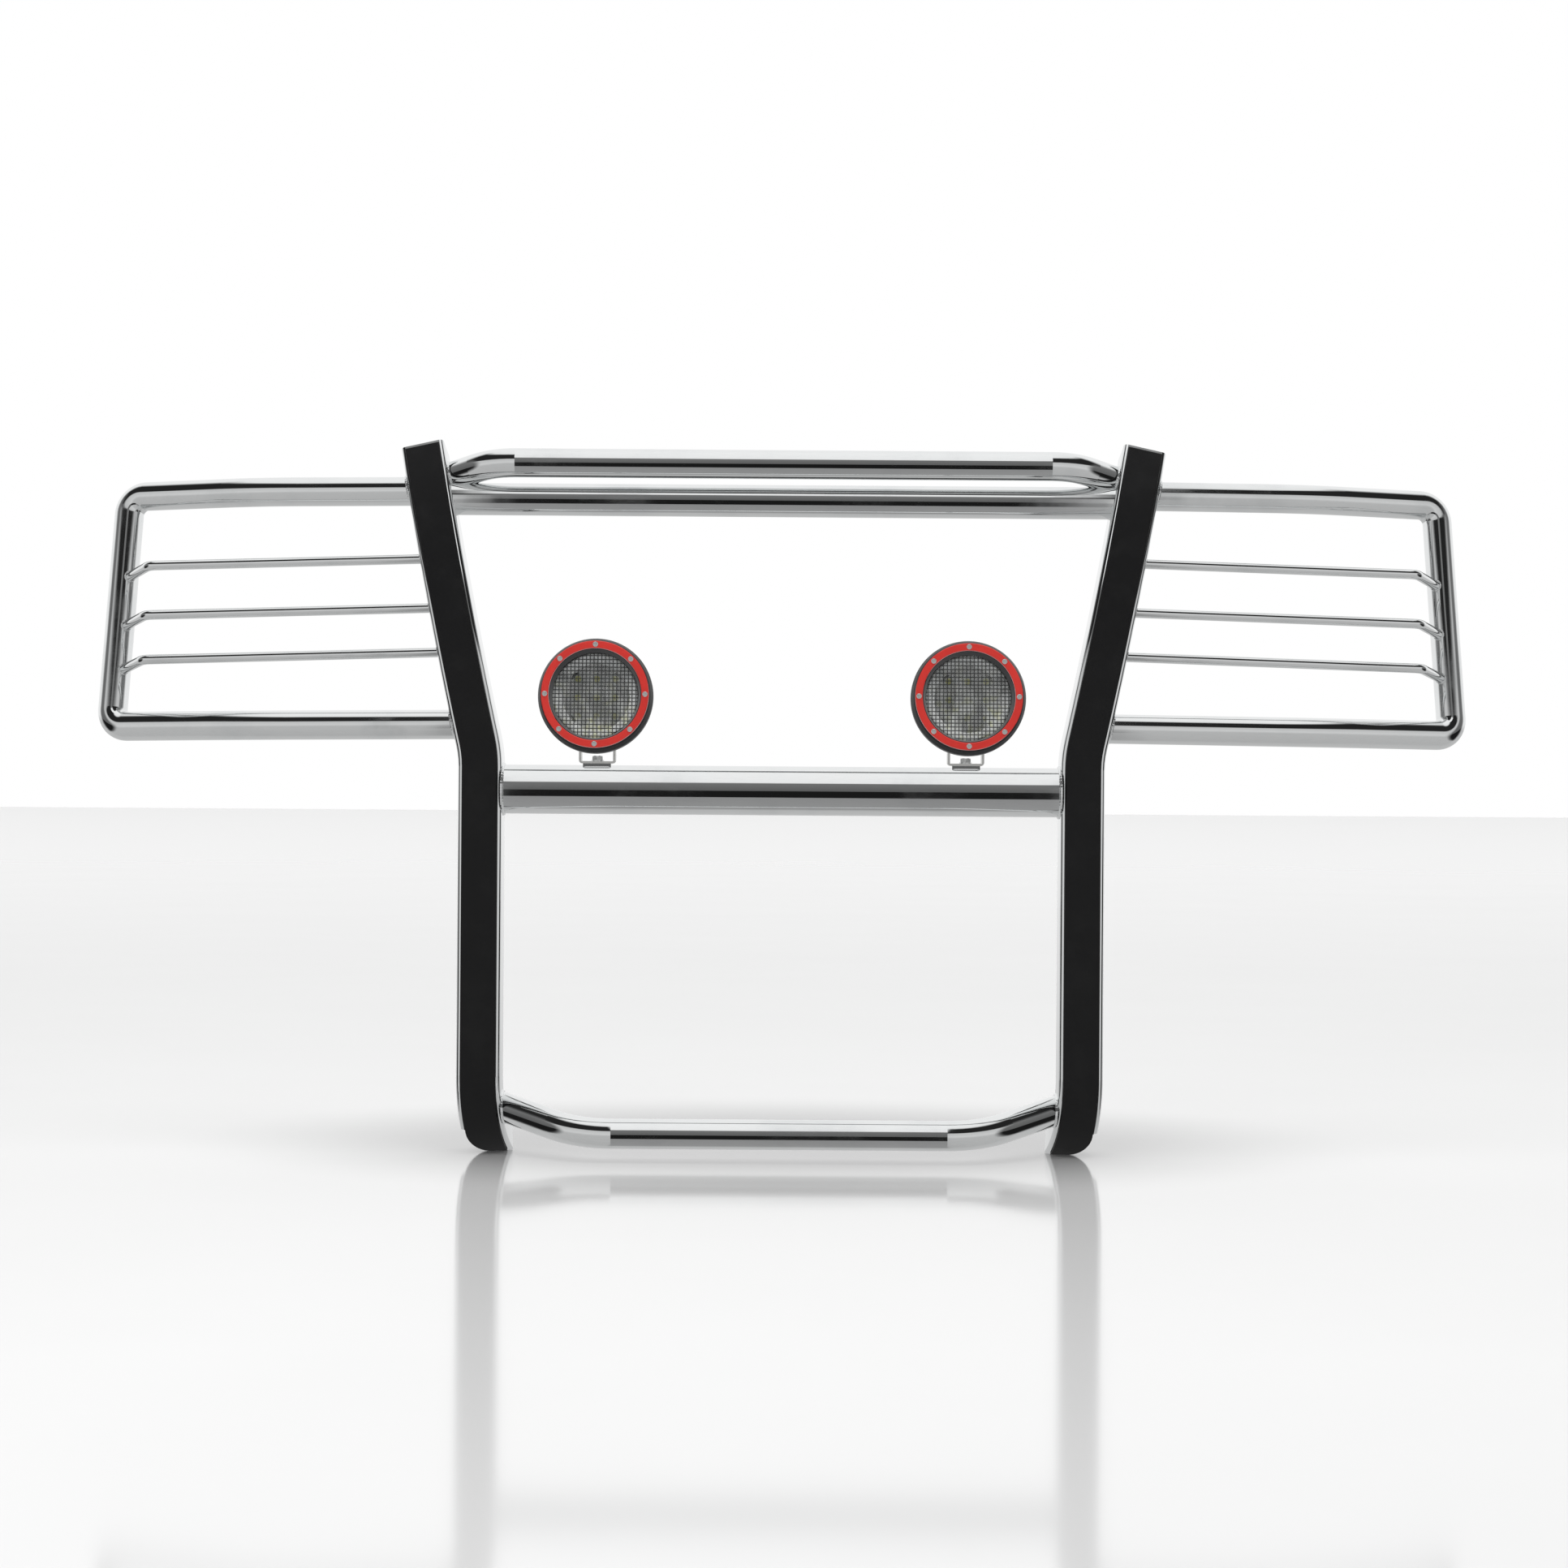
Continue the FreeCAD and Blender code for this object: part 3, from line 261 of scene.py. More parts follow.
def newMaterial(name):
    # an empty material and its Object coordinates
    material = bpy.data.materials.new(name)
    material.use_nodes = True
    material.node_tree.nodes.clear()
    return material, Wire(material.node_tree).node("ShaderNodeTexCoord", None, None, 3)


def shader(wire, inputs):
    surface = wire.node("ShaderNodeBsdfPrincipled", None, inputs)
    wire.node("ShaderNodeOutputMaterial", None, {"Surface": surface})


def bump(height, depth):
    return height.node("ShaderNodeBump", None,
                       {"Height": height, "Distance": depth, "Strength": 1.0})


# Finishes: each look holds its colours, how large its patterns are and how deep its relief is

def polishedStainless():
    look = {"dark": (0.70, 0.715, 0.72, 1), "light": (0.83, 0.84, 0.84, 1), "streaks": 0.6,
            "streakScale": 60.0, "along": (1.0, 9.0, 9.0),
            "smudgeScale": 9.0, "smudgeEdge": (0.48, 0.72), "rippleScale": 14.0,
            "smooth": 0.02, "streaked": 0.035, "smudged": 0.09, "relief": 0.00012}
    material, spot = newMaterial("polished_stainless")
    smudge = spot.noise(look["smudgeScale"], 4.0).between(*look["smudgeEdge"])
    streak = spot.scaled(*look["along"]).noise(look["streakScale"], 5.0, 0.6)
    ripple = spot.noise(look["rippleScale"], 2.0)
    tone = look["streaks"] * streak + (1 - look["streaks"]) * (1 - smudge)
    shader(spot, {"Base Color": tone.blend(look["dark"], look["light"]), "Metallic": 1.0,
                  "Roughness": (look["smooth"] + streak * look["streaked"]
                                + smudge * look["smudged"]),
                  "Normal": bump(ripple * 0.6 + streak * 0.02, look["relief"])})
    return material


def blackRubber():
    look = {"dark": (0.004, 0.004, 0.0045, 1), "dusty": (0.014, 0.014, 0.014, 1),
            "grainScale": 1400.0, "lumpScale": 160.0, "dustScale": 22.0, "dustEdge": (0.45, 0.8),
            "rough": 0.46, "specular": 0.3, "relief": 0.00012}
    material, spot = newMaterial("black_rubber")
    grain = spot.noise(look["grainScale"], 2.0)
    dust = spot.noise(look["dustScale"], 5.0, 0.65).between(*look["dustEdge"])
    shader(spot, {"Base Color": (dust * 0.6 + grain * 0.2).blend(look["dark"], look["dusty"]),
                  "Roughness": look["rough"] + dust * 0.16 + grain * 0.08,
                  "Specular IOR Level": look["specular"],
                  "Normal": bump(grain + spot.noise(look["lumpScale"]) * 0.8, look["relief"])})
    return material


def blackPowderCoat():
    look = {"dark": (0.014, 0.014, 0.015, 1), "light": (0.05, 0.05, 0.052, 1),
            "peelScale": 420.0, "wearScale": 35.0, "wearEdge": (0.58, 0.78),
            "rough": 0.32, "relief": 0.00025}
    material, spot = newMaterial("black_powder_coat")
    peel = spot.noise(look["peelScale"], 2.0, 0.5)
    wear = spot.noise(look["wearScale"], 6.0, 0.7).between(*look["wearEdge"])
    shader(spot, {"Base Color": (peel * 0.3 + wear * 0.6).blend(look["dark"], look["light"]),
                  "Roughness": look["rough"] + peel * 0.12 + wear * 0.15,
                  "Normal": bump(peel, look["relief"])})
    return material


def zincPlate():
    look = {"dark": (0.66, 0.67, 0.66, 1), "light": (0.88, 0.885, 0.88, 1),
            "cloudScale": 160.0, "turnedScale": 500.0, "turned": (1.0, 14.0, 1.0),
            "rough": 0.30, "relief": 0.00006}
    material, spot = newMaterial("zinc_plate")
    cloud = spot.noise(look["cloudScale"], 5.0, 0.6)
    turned = spot.scaled(*look["turned"]).noise(look["turnedScale"], 2.0)
    shader(spot, {"Base Color": (cloud * 0.7 + turned * 0.3).blend(look["dark"], look["light"]),
                  "Metallic": 1.0, "Roughness": look["rough"] + cloud * 0.2,
                  "Normal": bump(cloud * 0.4 + turned * 0.6, look["relief"])})
    return material


def plainStainless():
    look = {"dark": (0.68, 0.68, 0.66, 1), "light": (0.88, 0.88, 0.86, 1),
            "brushScale": 1500.0, "along": (0.05, 1.0, 1.0), "cloudScale": 40.0,
            "rough": 0.32, "relief": 0.00003}
    material, spot = newMaterial("plain_stainless_sheet")
    brushed = spot.scaled(*look["along"]).noise(look["brushScale"], 3.0, 0.6)
    cloud = spot.noise(look["cloudScale"], 4.0)
    shader(spot, {"Base Color": (brushed * 0.6 + cloud * 0.4).blend(look["dark"], look["light"]),
                  "Metallic": 1.0, "Roughness": look["rough"] + brushed * 0.16 + cloud * 0.08,
                  "Normal": bump(brushed, look["relief"])})
    return material


def satinBlackCasting():
    look = {"dark": (0.004, 0.0042, 0.005, 1), "light": (0.016, 0.0165, 0.018, 1),
            "castScale": 700.0, "cloudScale": 30.0,
            "rough": 0.30, "specular": 0.22, "relief": 0.00018}
    material, spot = newMaterial("satin_black_casting")
    cast = spot.noise(look["castScale"], 3.0, 0.6)
    cloud = spot.noise(look["cloudScale"], 4.0)
    shader(spot, {"Base Color": (cast * 0.5 + cloud * 0.4).blend(look["dark"], look["light"]),
                  "Roughness": look["rough"] + cast * 0.10 + cloud * 0.08,
                  "Specular IOR Level": look["specular"],
                  "Normal": bump(cast, look["relief"])})
    return material


def redBezelPaint():
    look = {"dark": (0.62, 0.018, 0.012, 1), "light": (0.86, 0.042, 0.030, 1),
            "peelScale": 380.0, "cloudScale": 26.0,
            "rough": 0.3, "coat": 0.6, "coatRough": 0.08, "relief": 0.00006}
    material, spot = newMaterial("red_bezel_paint")
    peel = spot.noise(look["peelScale"], 2.0)
    cloud = spot.noise(look["cloudScale"], 5.0)
    shader(spot, {"Base Color": (peel * 0.25 + cloud * 0.75).blend(look["dark"], look["light"]),
                  "Roughness": look["rough"] + cloud * 0.08,
                  "Coat Weight": look["coat"] + peel * 0.2, "Coat Roughness": look["coatRough"],
                  "Normal": bump(peel, look["relief"])})
    return material


def blackPlastic():
    look = {"dark": (0.010, 0.010, 0.011, 1), "light": (0.03, 0.03, 0.032, 1),
            "grainScale": 900.0, "cloudScale": 60.0,
            "rough": 0.38, "specular": 0.2, "relief": 0.00008}
    material, spot = newMaterial("black_moulded_plastic")
    grain = spot.noise(look["grainScale"], 3.0)
    cloud = spot.noise(look["cloudScale"], 4.0)
    shader(spot, {"Base Color": (grain * 0.5 + cloud * 0.5).blend(look["dark"], look["light"]),
                  "Roughness": look["rough"] + grain * 0.12,
                  "Specular IOR Level": look["specular"],
                  "Normal": bump(grain, look["relief"])})
    return material


def lensGlass():
    # square pillows: u and v rise from 0 at a cell's edges to 1 at its middle; the lens's colour is
    # painted light and shade: painted shade in the grooves between cells, painted highlights on the
    # cell crowns that fade upward from the lens's bottom, and a painted yellow cast of the emitters
    # behind; heights are counted from the lamp's pivot
    look = {"paintedValleyShade": (0.015, 0.017, 0.018, 1), "crown": (0.93, 0.96, 0.93, 1),
            "tinted": (0.86, 0.88, 0.48, 1), "paintedValleyShadeEdge": (0.10, 0.42),
            "cloudScale": 38.0, "cloudShape": (1.6, 1.0, 0.6), "cloudEdge": (0.36, 0.62),
            "bright": (-0.05, 0.045, 1.0, 0.35),   # painted light on the cells: full at the first height, a third at the second
            "tintScale": 95.0, "tintEdge": (0.5, 0.7),
            "smooth": 0.08, "clear": 0.14, "relief": 0.0004}
    material, spot = newMaterial("lens_glass")
    across, _, up = pivotOf("right")
    x = spot.math("ABSOLUTE", spot.part(0)) - across
    z = spot.part(2) - up
    u, v = (spot.math("PINGPONG", w / lamp["lens"]["pitch"] + 0.5, 0.5) * 2 for w in (x, z))
    pillow = spot.math("MINIMUM", u, v)
    # painted shade: the grooves between the cells are given a near-black colour
    paintedValleyShade = pillow.between(*look["paintedValleyShadeEdge"], 1.0, 0.0)
    cloud = spot.scaled(*look["cloudShape"]).noise(look["cloudScale"], 3.0, 0.6).between(
        *look["cloudEdge"])
    # painted light: the cells are brightest at the bottom of the lens and fade to a third higher up
    low = z.between(*look["bright"])
    # a painted yellow cast of the emitters seen through the lens, fading upward with the painted
    # light
    tint = spot.noise(look["tintScale"], 2.0).between(*look["tintEdge"]) * low
    # painted highlight: the cell crowns are bright and clouded, fading upward
    crown = (1 - paintedValleyShade) * (0.35 + 0.65 * cloud) * low
    cell = tint.blend(look["crown"], look["tinted"])
    shader(spot, {"Base Color": crown.blend(look["paintedValleyShade"], cell),
                  "Roughness": look["smooth"] + paintedValleyShade * 0.3,
                  "Alpha": look["clear"] + paintedValleyShade * 0.66 + crown * 0.5,
                  "Normal": bump(pillow, look["relief"])})
    return material


def reflectorSilver():
    look = {"dark": (0.72, 0.73, 0.73, 1), "light": (0.90, 0.91, 0.91, 1),
            "hazeScale": 90.0, "waveScale": 300.0, "smooth": 0.10, "relief": 0.00004}
    material, spot = newMaterial("reflector_silver")
    haze = spot.noise(look["hazeScale"], 4.0)
    shader(spot, {"Base Color": haze.blend(look["dark"], look["light"]), "Metallic": 1.0,
                  "Roughness": look["smooth"] + haze * 0.12,
                  "Normal": bump(spot.noise(look["waveScale"]), look["relief"])})
    return material


def cloudedPaint(name, look):
    # one tone clouded with another, for the small parts behind the lens
    material, spot = newMaterial(name)
    cloud = spot.noise(look["cloudScale"], look["detail"])
    shader(spot, {"Base Color": cloud.blend(look["dark"], look["light"]),
                  "Roughness": look["rough"] + cloud * 0.15,
                  "Normal": bump(cloud, look["relief"])})
    return material


def boardWhite():
    return cloudedPaint("board_white", {
        "dark": (0.62, 0.65, 0.62, 1), "light": (0.80, 0.82, 0.80, 1),
        "cloudScale": 200.0, "detail": 4.0, "rough": 0.4, "relief": 0.00004})


def emitterYellow():
    return cloudedPaint("emitter_yellow", {
        "dark": (0.60, 0.58, 0.10, 1), "light": (0.86, 0.86, 0.32, 1),
        "cloudScale": 600.0, "detail": 3.0, "rough": 0.22, "relief": 0.00004})


finishMakers = {
    "polished_stainless": polishedStainless, "black_rubber": blackRubber,
    "black_bracket_steel": blackPowderCoat, "zinc_steel": zincPlate,
    "bracket_stainless": plainStainless, "lamp_black": satinBlackCasting,
    "bezel_red": redBezelPaint, "lamp_black_plastic": blackPlastic, "lens_clear": lensGlass,
    "reflector_silver": reflectorSilver, "board_white": boardWhite,
    "emitter_yellow": emitterYellow,
}


def dressNodes():
    for node in nodes.values():
        for slot in node.material_slots:
            slot.material = finishes[slot.material.name.split(".")[0]]


# Shapes worked out on grids

def turnsOf(columns):
    return np.linspace(0, 2 * np.pi, columns, endpoint=False)


def ringAround(axis, across, columns):
    # directions round an axis: cos t * across + sin t * (axis x across)
    turn = turnsOf(columns)[:, None]
    return np.cos(turn) * np.array(across) + np.sin(turn) * np.cross(axis, across)


def bands(first, second, columns):
    # four-sided faces between two rings of corners, each ring given by its first corner's number
    here = np.arange(columns)
    after = np.roll(here, -1)
    first, second = np.asarray(first)[..., None], np.asarray(second)[..., None]
    return np.stack([first + here, first + after, second + after, second + here],
                    -1).reshape(-1, 4).tolist()


def fan(pole, first, columns, way=1):
    # triangles from a pole to a ring; way -1 turns them round
    here = np.arange(columns)
    ends = (first + here, first + np.roll(here, -1))[::way]
    return np.stack([np.full(columns, pole), *ends], -1).tolist()


def outward(points, faces):
    # turns the faces round if the volume that they enclose comes out negative
    triples = np.array([face[:3] for face in faces]
                       + [[face[0], *face[2:]] for face in faces if len(face) == 4])
    middle = points - points.mean(0)
    a, b, c = (middle[triples[:, n]] for n in range(3))
    if np.einsum("ij,ij->i", a, np.cross(b, c)).sum() < 0:
        faces = [face[::-1] for face in faces]
    return points, faces


def latheSurface(profile, centre, axis, across, columns):
    # a closed surface round an axis: centre + height * axis + radius * ring(t); the profile lists
    # heights and radii, a radius may vary with t, and the first and last rows are poles
    heights = np.array([height for height, _ in profile], float)[:, None, None]
    radii = np.stack([np.broadcast_to(radius, columns) for _, radius in profile])[:, :, None]
    rows = (np.array(centre, float) + heights * np.array(axis, float)
            + radii * ringAround(axis, across, columns))
    points = np.vstack([rows[0, :1], rows[1:-1].reshape(-1, 3), rows[-1, :1]])
    inner = len(profile) - 2
    starts = 1 + np.arange(inner) * columns
    return outward(points, bands(starts[:-1], starts[1:], columns) + fan(0, 1, columns, -1)
                   + fan(len(points) - 1, starts[-1], columns))


def ringSurface(section, centre, axis, across, columns):
    # a closed section, a list of heights and radii, carried round an axis:
    # centre + height * axis + radius * ring(t)
    ring = ringAround(axis, across, columns)
    points = np.stack([np.array(centre) + height * np.array(axis, float)
                       + np.broadcast_to(radius, columns)[:, None] * ring
                       for height, radius in section]).reshape(-1, 3)
    starts = np.arange(len(section)) * columns
    return outward(points, bands(starts, np.roll(starts, -1), columns))


def hexRadius(columns, flats):
    # distance from a hexagon's centre to its side: half the flats over the cosine of the angle
    # to the nearest flat
    return flats / 2 / np.cos((turnsOf(columns) + np.pi / 6) % (np.pi / 3) - np.pi / 6)


def makePiece(name, parts, finish, body, stands=(), sharp=35.0):
    # one object out of several surfaces
    points, faces, count = [], [], 0
    for spots, polygons in parts:
        points.append(spots)
        faces += [[n + count for n in face] for face in polygons]
        count += len(spots)
    mesh = bpy.data.meshes.new(name)
    mesh.from_pydata(np.vstack(points), [], faces)
    mesh.update()
    mesh.shade_smooth()
    mesh.set_sharp_from_angle(angle=math.radians(sharp))
    mesh.materials.append(finishes[finish])
    piece = bpy.data.objects.new(name, mesh)
    bpy.context.scene.collection.objects.link(piece)
    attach(piece, body)
    if stands:
        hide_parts(*stands)


def corners(node):
    # every corner of a CAD node's mesh
    spots = np.empty(len(nodes[node].data.vertices) * 3)
    nodes[node].data.vertices.foreach_get("co", spots)
    return spots.reshape(-1, 3)


# Weld beads

welds = {
    "steps": 200,       # corners along a bead round a tube
    "columns": 12,      # and round the bead itself
    "sectors": 40, "waves": 5,                 # how closely a bead follows a tube's rim
    "narrow": 0.92, "swell": 0.16,             # width of a puddle, as shares of the bead's size
    "taper": 12, "tip": 0.02,                  # how an open bead ends
    # size, how far along the tube its sloped end reaches, puddles
    "tubes": {
        "top_hoop_tube": (2.0 * mm, 12 * mm, 34), "upper_cross_tube": (2.0 * mm, 12 * mm, 36),
        "centre_cross_tube": (2.6 * mm, 2 * mm, 52), "lower_hoop_tube": (2.0 * mm, 12 * mm, 34),
    },
    "wing": (2.0 * mm, 9 * mm, 34),
    "bar": (1.3 * mm, 4.5 * mm, 16),
    # size and puddles of the straight seams
    "tab": (2.4 * mm, 26),
    "seat": (1.5 * mm, 12),
    "seamSteps": 120, "seamSpan": (0.02, 0.98), "seamLean": (0.0, 1.0, 0.3),
    "sharp": 60.0,
}


def beadSurface(line, size, closed, ripples):
    # a round bead along a line: line + w * (cos s * away + sin s * side), with w rippling once
    # for each puddle and, on an open line, falling to nothing at both ends
    steps, columns = len(line), welds["columns"]
    ahead = np.roll(line, -1, 0) - np.roll(line, 1, 0) if closed else np.gradient(line, axis=0)
    ahead /= np.linalg.norm(ahead, axis=1)[:, None]
    away = line - line.mean(0) if closed else np.tile(welds["seamLean"], (steps, 1))
    away = away - np.einsum("ij,ij->i", away, ahead)[:, None] * ahead
    away /= np.linalg.norm(away, axis=1)[:, None]
    side = np.cross(ahead, away)
    share = np.arange(steps) / (steps if closed else steps - 1)
    puddle = (share * ripples) % 1.0
    width = size * (welds["narrow"] + welds["swell"] * puddle ** 2)
    if not closed:
        width = width * np.sqrt(np.clip(1 - (2 * share - 1) ** welds["taper"], 0, 1))
        width[0] = width[-1] = size * welds["tip"]
    turn = turnsOf(columns)[None, :, None]
    ring = np.cos(turn) * away[:, None] + np.sin(turn) * side[:, None]
    points = (line[:, None] + width[:, None, None] * ring).reshape(-1, 3)
    starts = np.arange(steps) * columns
    if closed:
        return outward(points, bands(starts, np.roll(starts, -1), columns))
    ends = [list(range(columns))[::-1], list(range(len(points) - columns, len(points)))]
    return outward(points, bands(starts[:-1], starts[1:], columns) + ends)


def rimLine(spots, steps):
    # the outer rim of a cut tube's end: radius and height over the rim's own plane, each as the
    # sum of a few waves in the angle, fitted to the farthest corner in every direction
    middle = (spots.min(0) + spots.max(0)) / 2
    plane = np.linalg.svd(spots - spots.mean(0))[2]
    local = (spots - middle) @ plane.T
    turn = np.arctan2(local[:, 1], local[:, 0])
    reach = np.hypot(local[:, 0], local[:, 1])
    sectors = welds["sectors"]
    sector = ((turn + np.pi) / (2 * np.pi) * sectors).astype(int) % sectors
    order = np.lexsort((reach, sector))
    outermost = order[np.append(np.diff(sector[order]) != 0, True)]

    def waves(angle):
        count = welds["waves"]
        return np.stack([np.cos(k * angle) for k in range(count)]
                        + [np.sin(k * angle) for k in range(1, count)], -1)

    fitted = np.linalg.lstsq(waves(turn[outermost]),
                             np.stack([reach[outermost], local[outermost, 2]], -1), rcond=None)[0]
    around = turnsOf(steps)
    radius, height = (waves(around) @ fitted).T
    return middle + np.stack([radius * np.cos(around), radius * np.sin(around), height],
                             -1) @ plane


def tubeBead(spots, way, weld, steps):
    # a bead round one end of a tube, way being -1 or 1 along X
    size, depth, puddles = weld
    along = spots[:, 0] * way
    return beadSurface(rimLine(spots[along > along.max() - depth], steps), size, True, puddles)


def seamBead(start, end, weld):
    # a straight bead between two places
    size, puddles = weld
    share = np.linspace(*welds["seamSpan"], welds["seamSteps"])[:, None]
    start, end = np.array(start), np.array(end)
    return beadSurface(start + share * (end - start), size, False, puddles)


def makeWelds(side):
    way = -1 if side == "left" else 1
    steps = welds["steps"]
    beads = [tubeBead(corners(node), way, weld, steps) for node, weld in welds["tubes"].items()]
    wing = corners("wing_frame_" + side)
    half = (wing[:, 2].min() + wing[:, 2].max()) / 2
    for end in (wing[wing[:, 2] > half], wing[wing[:, 2] < half]):
        beads.append(tubeBead(end, -way, welds["wing"], steps))
    for level in ("upper", "middle", "lower"):
        bar = corners(f"wing_bar_{side}_{level}")
        beads += [tubeBead(bar, end, welds["bar"], steps // 2) for end in (-way, way)]
    low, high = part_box("mounting_tab_" + side)
    beads += [seamBead((x, low.y, low.z), (x, low.y, high.z), welds["tab"])
              for x in (low.x, high.x)]
    low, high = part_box("lamp_seat_" + side)
    beads += [seamBead((low.x, y, low.z), (high.x, y, low.z), welds["seat"])
              for y in (low.y, high.y)]
    makePiece("weld_beads_" + side, beads, "polished_stainless", "guard", sharp=welds["sharp"])


# Bolts, nuts and washers

bolting = {
    "columns": 72,
    "chamfer": 0.12,                       # of a head's height
    "corner": 0.53, "nutCorner": 0.565,    # turned-off corners, as shares of the flats
    "threadDepth": 0.04, "threadSteps": 6,
    "frame": {"flats": 18 * mm, "head": 7.5 * mm, "shank": 6 * mm, "pitch": 1.75 * mm,
              "thread": 22 * mm, "nut": 10 * mm, "nutRound": 0.9 * mm, "overrun": 3 * mm},
    "small": {"flats": 13 * mm, "head": 5.3 * mm, "shank": 4 * mm},
}


def hexBolt(centre, axis, across, size, length):
    # a hexagon under a cone, then a shank whose threaded end goes in and out once a pitch;
    # heights are counted from under the head, which lies at +height
    columns = bolting["columns"]
    flats, head, shank = size["flats"], size["head"], size["shank"]
    hexagon = hexRadius(columns, flats)
    chamfer = bolting["chamfer"] * head
    profile = [(head, 0), (head, flats * 0.44), (head, flats * 0.475),
               (head - chamfer, np.minimum(hexagon, flats * bolting["corner"])),
               (head - 2 * chamfer, hexagon), (chamfer * 0.5, hexagon), (0, hexagon * 0.985),
               (0, shank)]
    if "thread" in size:
        pitch, start = size["pitch"], size["thread"] - length
        depth = bolting["threadDepth"] * flats
        marks = np.arange(start, -length + 0.8 * pitch, -pitch / bolting["threadSteps"])
        waves = 0.5 + 0.5 * np.cos((marks - start) / pitch * 2 * np.pi + np.pi)
        profile += [(start + 0.4 * pitch, shank), *zip(marks, shank - depth * waves)]
    profile += [(-length + 0.05 * flats, shank * 0.96), (-length, shank * 0.85), (-length, 0)]
    return latheSurface(profile, centre, axis, across, columns)


def hexNut(centre, axis, across, size):
    # a hexagon with turned-off corners and rounded edges round a plain bore
    columns, soft = bolting["columns"], size["nutRound"]
    outer = np.minimum(hexRadius(columns, size["flats"]), size["flats"] * bolting["nutCorner"])
    inner, high = size["shank"], size["nut"]
    section = [(0, inner + soft), (0, outer - soft), (0.3 * soft, outer - 0.3 * soft),
               (soft, outer), (high - soft, outer), (high - 0.3 * soft, outer - 0.3 * soft),
               (high, outer - soft), (high, inner + soft), (high - soft, inner), (soft, inner)]
    return ringSurface(section, centre, axis, across, columns)


def makeFrameBolts(side):
    # two bolts through each bracket's web, their heads on the inner side
    way = -1 if side == "left" else 1
    size = bolting["frame"]
    low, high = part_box("bracket_bolts")
    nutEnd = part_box("bracket_nuts")[1].x
    under = min(abs(corners("bracket_bolts")[:, 0])) + size["head"]
    middle = (low.y + high.y) / 2
    reach = size["flats"] / math.sqrt(3)
    bolts, nuts = [], []
    for z in (low.z + reach, high.z - reach):
        bolts.append(hexBolt((way * under, middle, z), (-way, 0, 0), (0, 0, 1), size,
                             nutEnd + size["overrun"] - under))
        nuts.append(hexNut((way * (nutEnd - size["nut"]), middle, z), (way, 0, 0), (0, 0, 1),
                           size))
    return bolts, nuts


def makeBolting():
    bolts, nuts = zip(*(makeFrameBolts(side) for side in sides))
    makePiece("frame_bolts", bolts[0] + bolts[1], "zinc_steel", "guard", ["bracket_bolts"])
    makePiece("frame_nuts", nuts[0] + nuts[1], "zinc_steel", "guard", ["bracket_nuts"])
    size = bolting["small"]
    low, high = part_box("lamp_base_bolts")
    under = high.z - size["head"]
    heads = []
    for side in sides:
        seatLow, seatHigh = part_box("lamp_seat_" + side)
        place = ((seatLow.x + seatHigh.x) / 2, (seatLow.y + seatHigh.y) / 2, under)
        heads.append(hexBolt(place, (0, 0, 1), (1, 0, 0), size, under - low.z))
    makePiece("lamp_base_screws", heads, "zinc_steel", "guard", ["lamp_base_bolts"])
    for side in sides:
        low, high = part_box("tilt_bolts_" + side)
        middle = (low + high) / 2
        inner = min(abs(corners("tilt_bolts_" + side)[:, 0] - middle.x))
        reach = (high.x - low.x) / 2 - size["head"]
        pair = [hexBolt((middle.x + way * reach, middle.y, middle.z), (way, 0, 0), (0, 0, 1),
                        size, reach - inner) for way in (-1, 1)]
        makePiece("tilt_screws_" + side, pair, "zinc_steel", "lamp_" + side,
                  ["tilt_bolts_" + side])


# Lamps: worked out about the lamp's pivot, with the front towards -Y, then tipped up by the aim

lamp = {
    "aim": 6.0,
    "lens": {"radius": 58.5 * mm, "flat": 54 * mm, "front": -52 * mm, "crown": 1.0 * mm,
             "back": -48 * mm, "pitch": 4.9 * mm, "rib": 0.7 * mm, "fade": 2 * mm,
             "frontRings": 16, "rings": 84, "columns": 360},
    "screws": {"circle": 63.75 * mm, "count": 8, "head": 3.3 * mm, "rise": 1.8 * mm,
               "shank": 2 * mm, "length": 12 * mm, "socket": 2.6 * mm, "depth": 1.2 * mm,
               "lead": 0.1 * mm, "seat": -66 * mm, "columns": 36},
    "sources": {"spacing": 24 * mm, "radius": 4 * mm, "dome": 3.1 * mm, "seat": -29.6 * mm,
                "rise": 1.5 * mm, "steps": 8, "columns": 40},
    "gland": {"drop": 33 * mm, "seat": -23 * mm, "nut": 9.5 * mm, "nutFlats": 16.53 * mm,
              "nutLength": 6 * mm, "body": 8 * mm, "length": 15 * mm, "bore": 3.2 * mm,
              "blind": 2 * mm, "soft": 0.5 * mm, "flutes": 14, "fluting": 0.035,
              "columns": 112},
}


def pivotOf(side):
    return next(joint["pos_m"] for joint in frame["joints"]
                if joint["name"] == "lamp_tilt_" + side)


def onLamp(surface, side):
    # turns a surface about X by the lamp's aim and puts it at the pivot
    points, faces = surface
    tip = math.radians(lamp["aim"])
    x, y, z = points.T
    turned = np.stack([x, y * math.cos(tip) + z * math.sin(tip),
                       z * math.cos(tip) - y * math.sin(tip)], -1)
    return turned + np.array(pivotOf(side)), faces


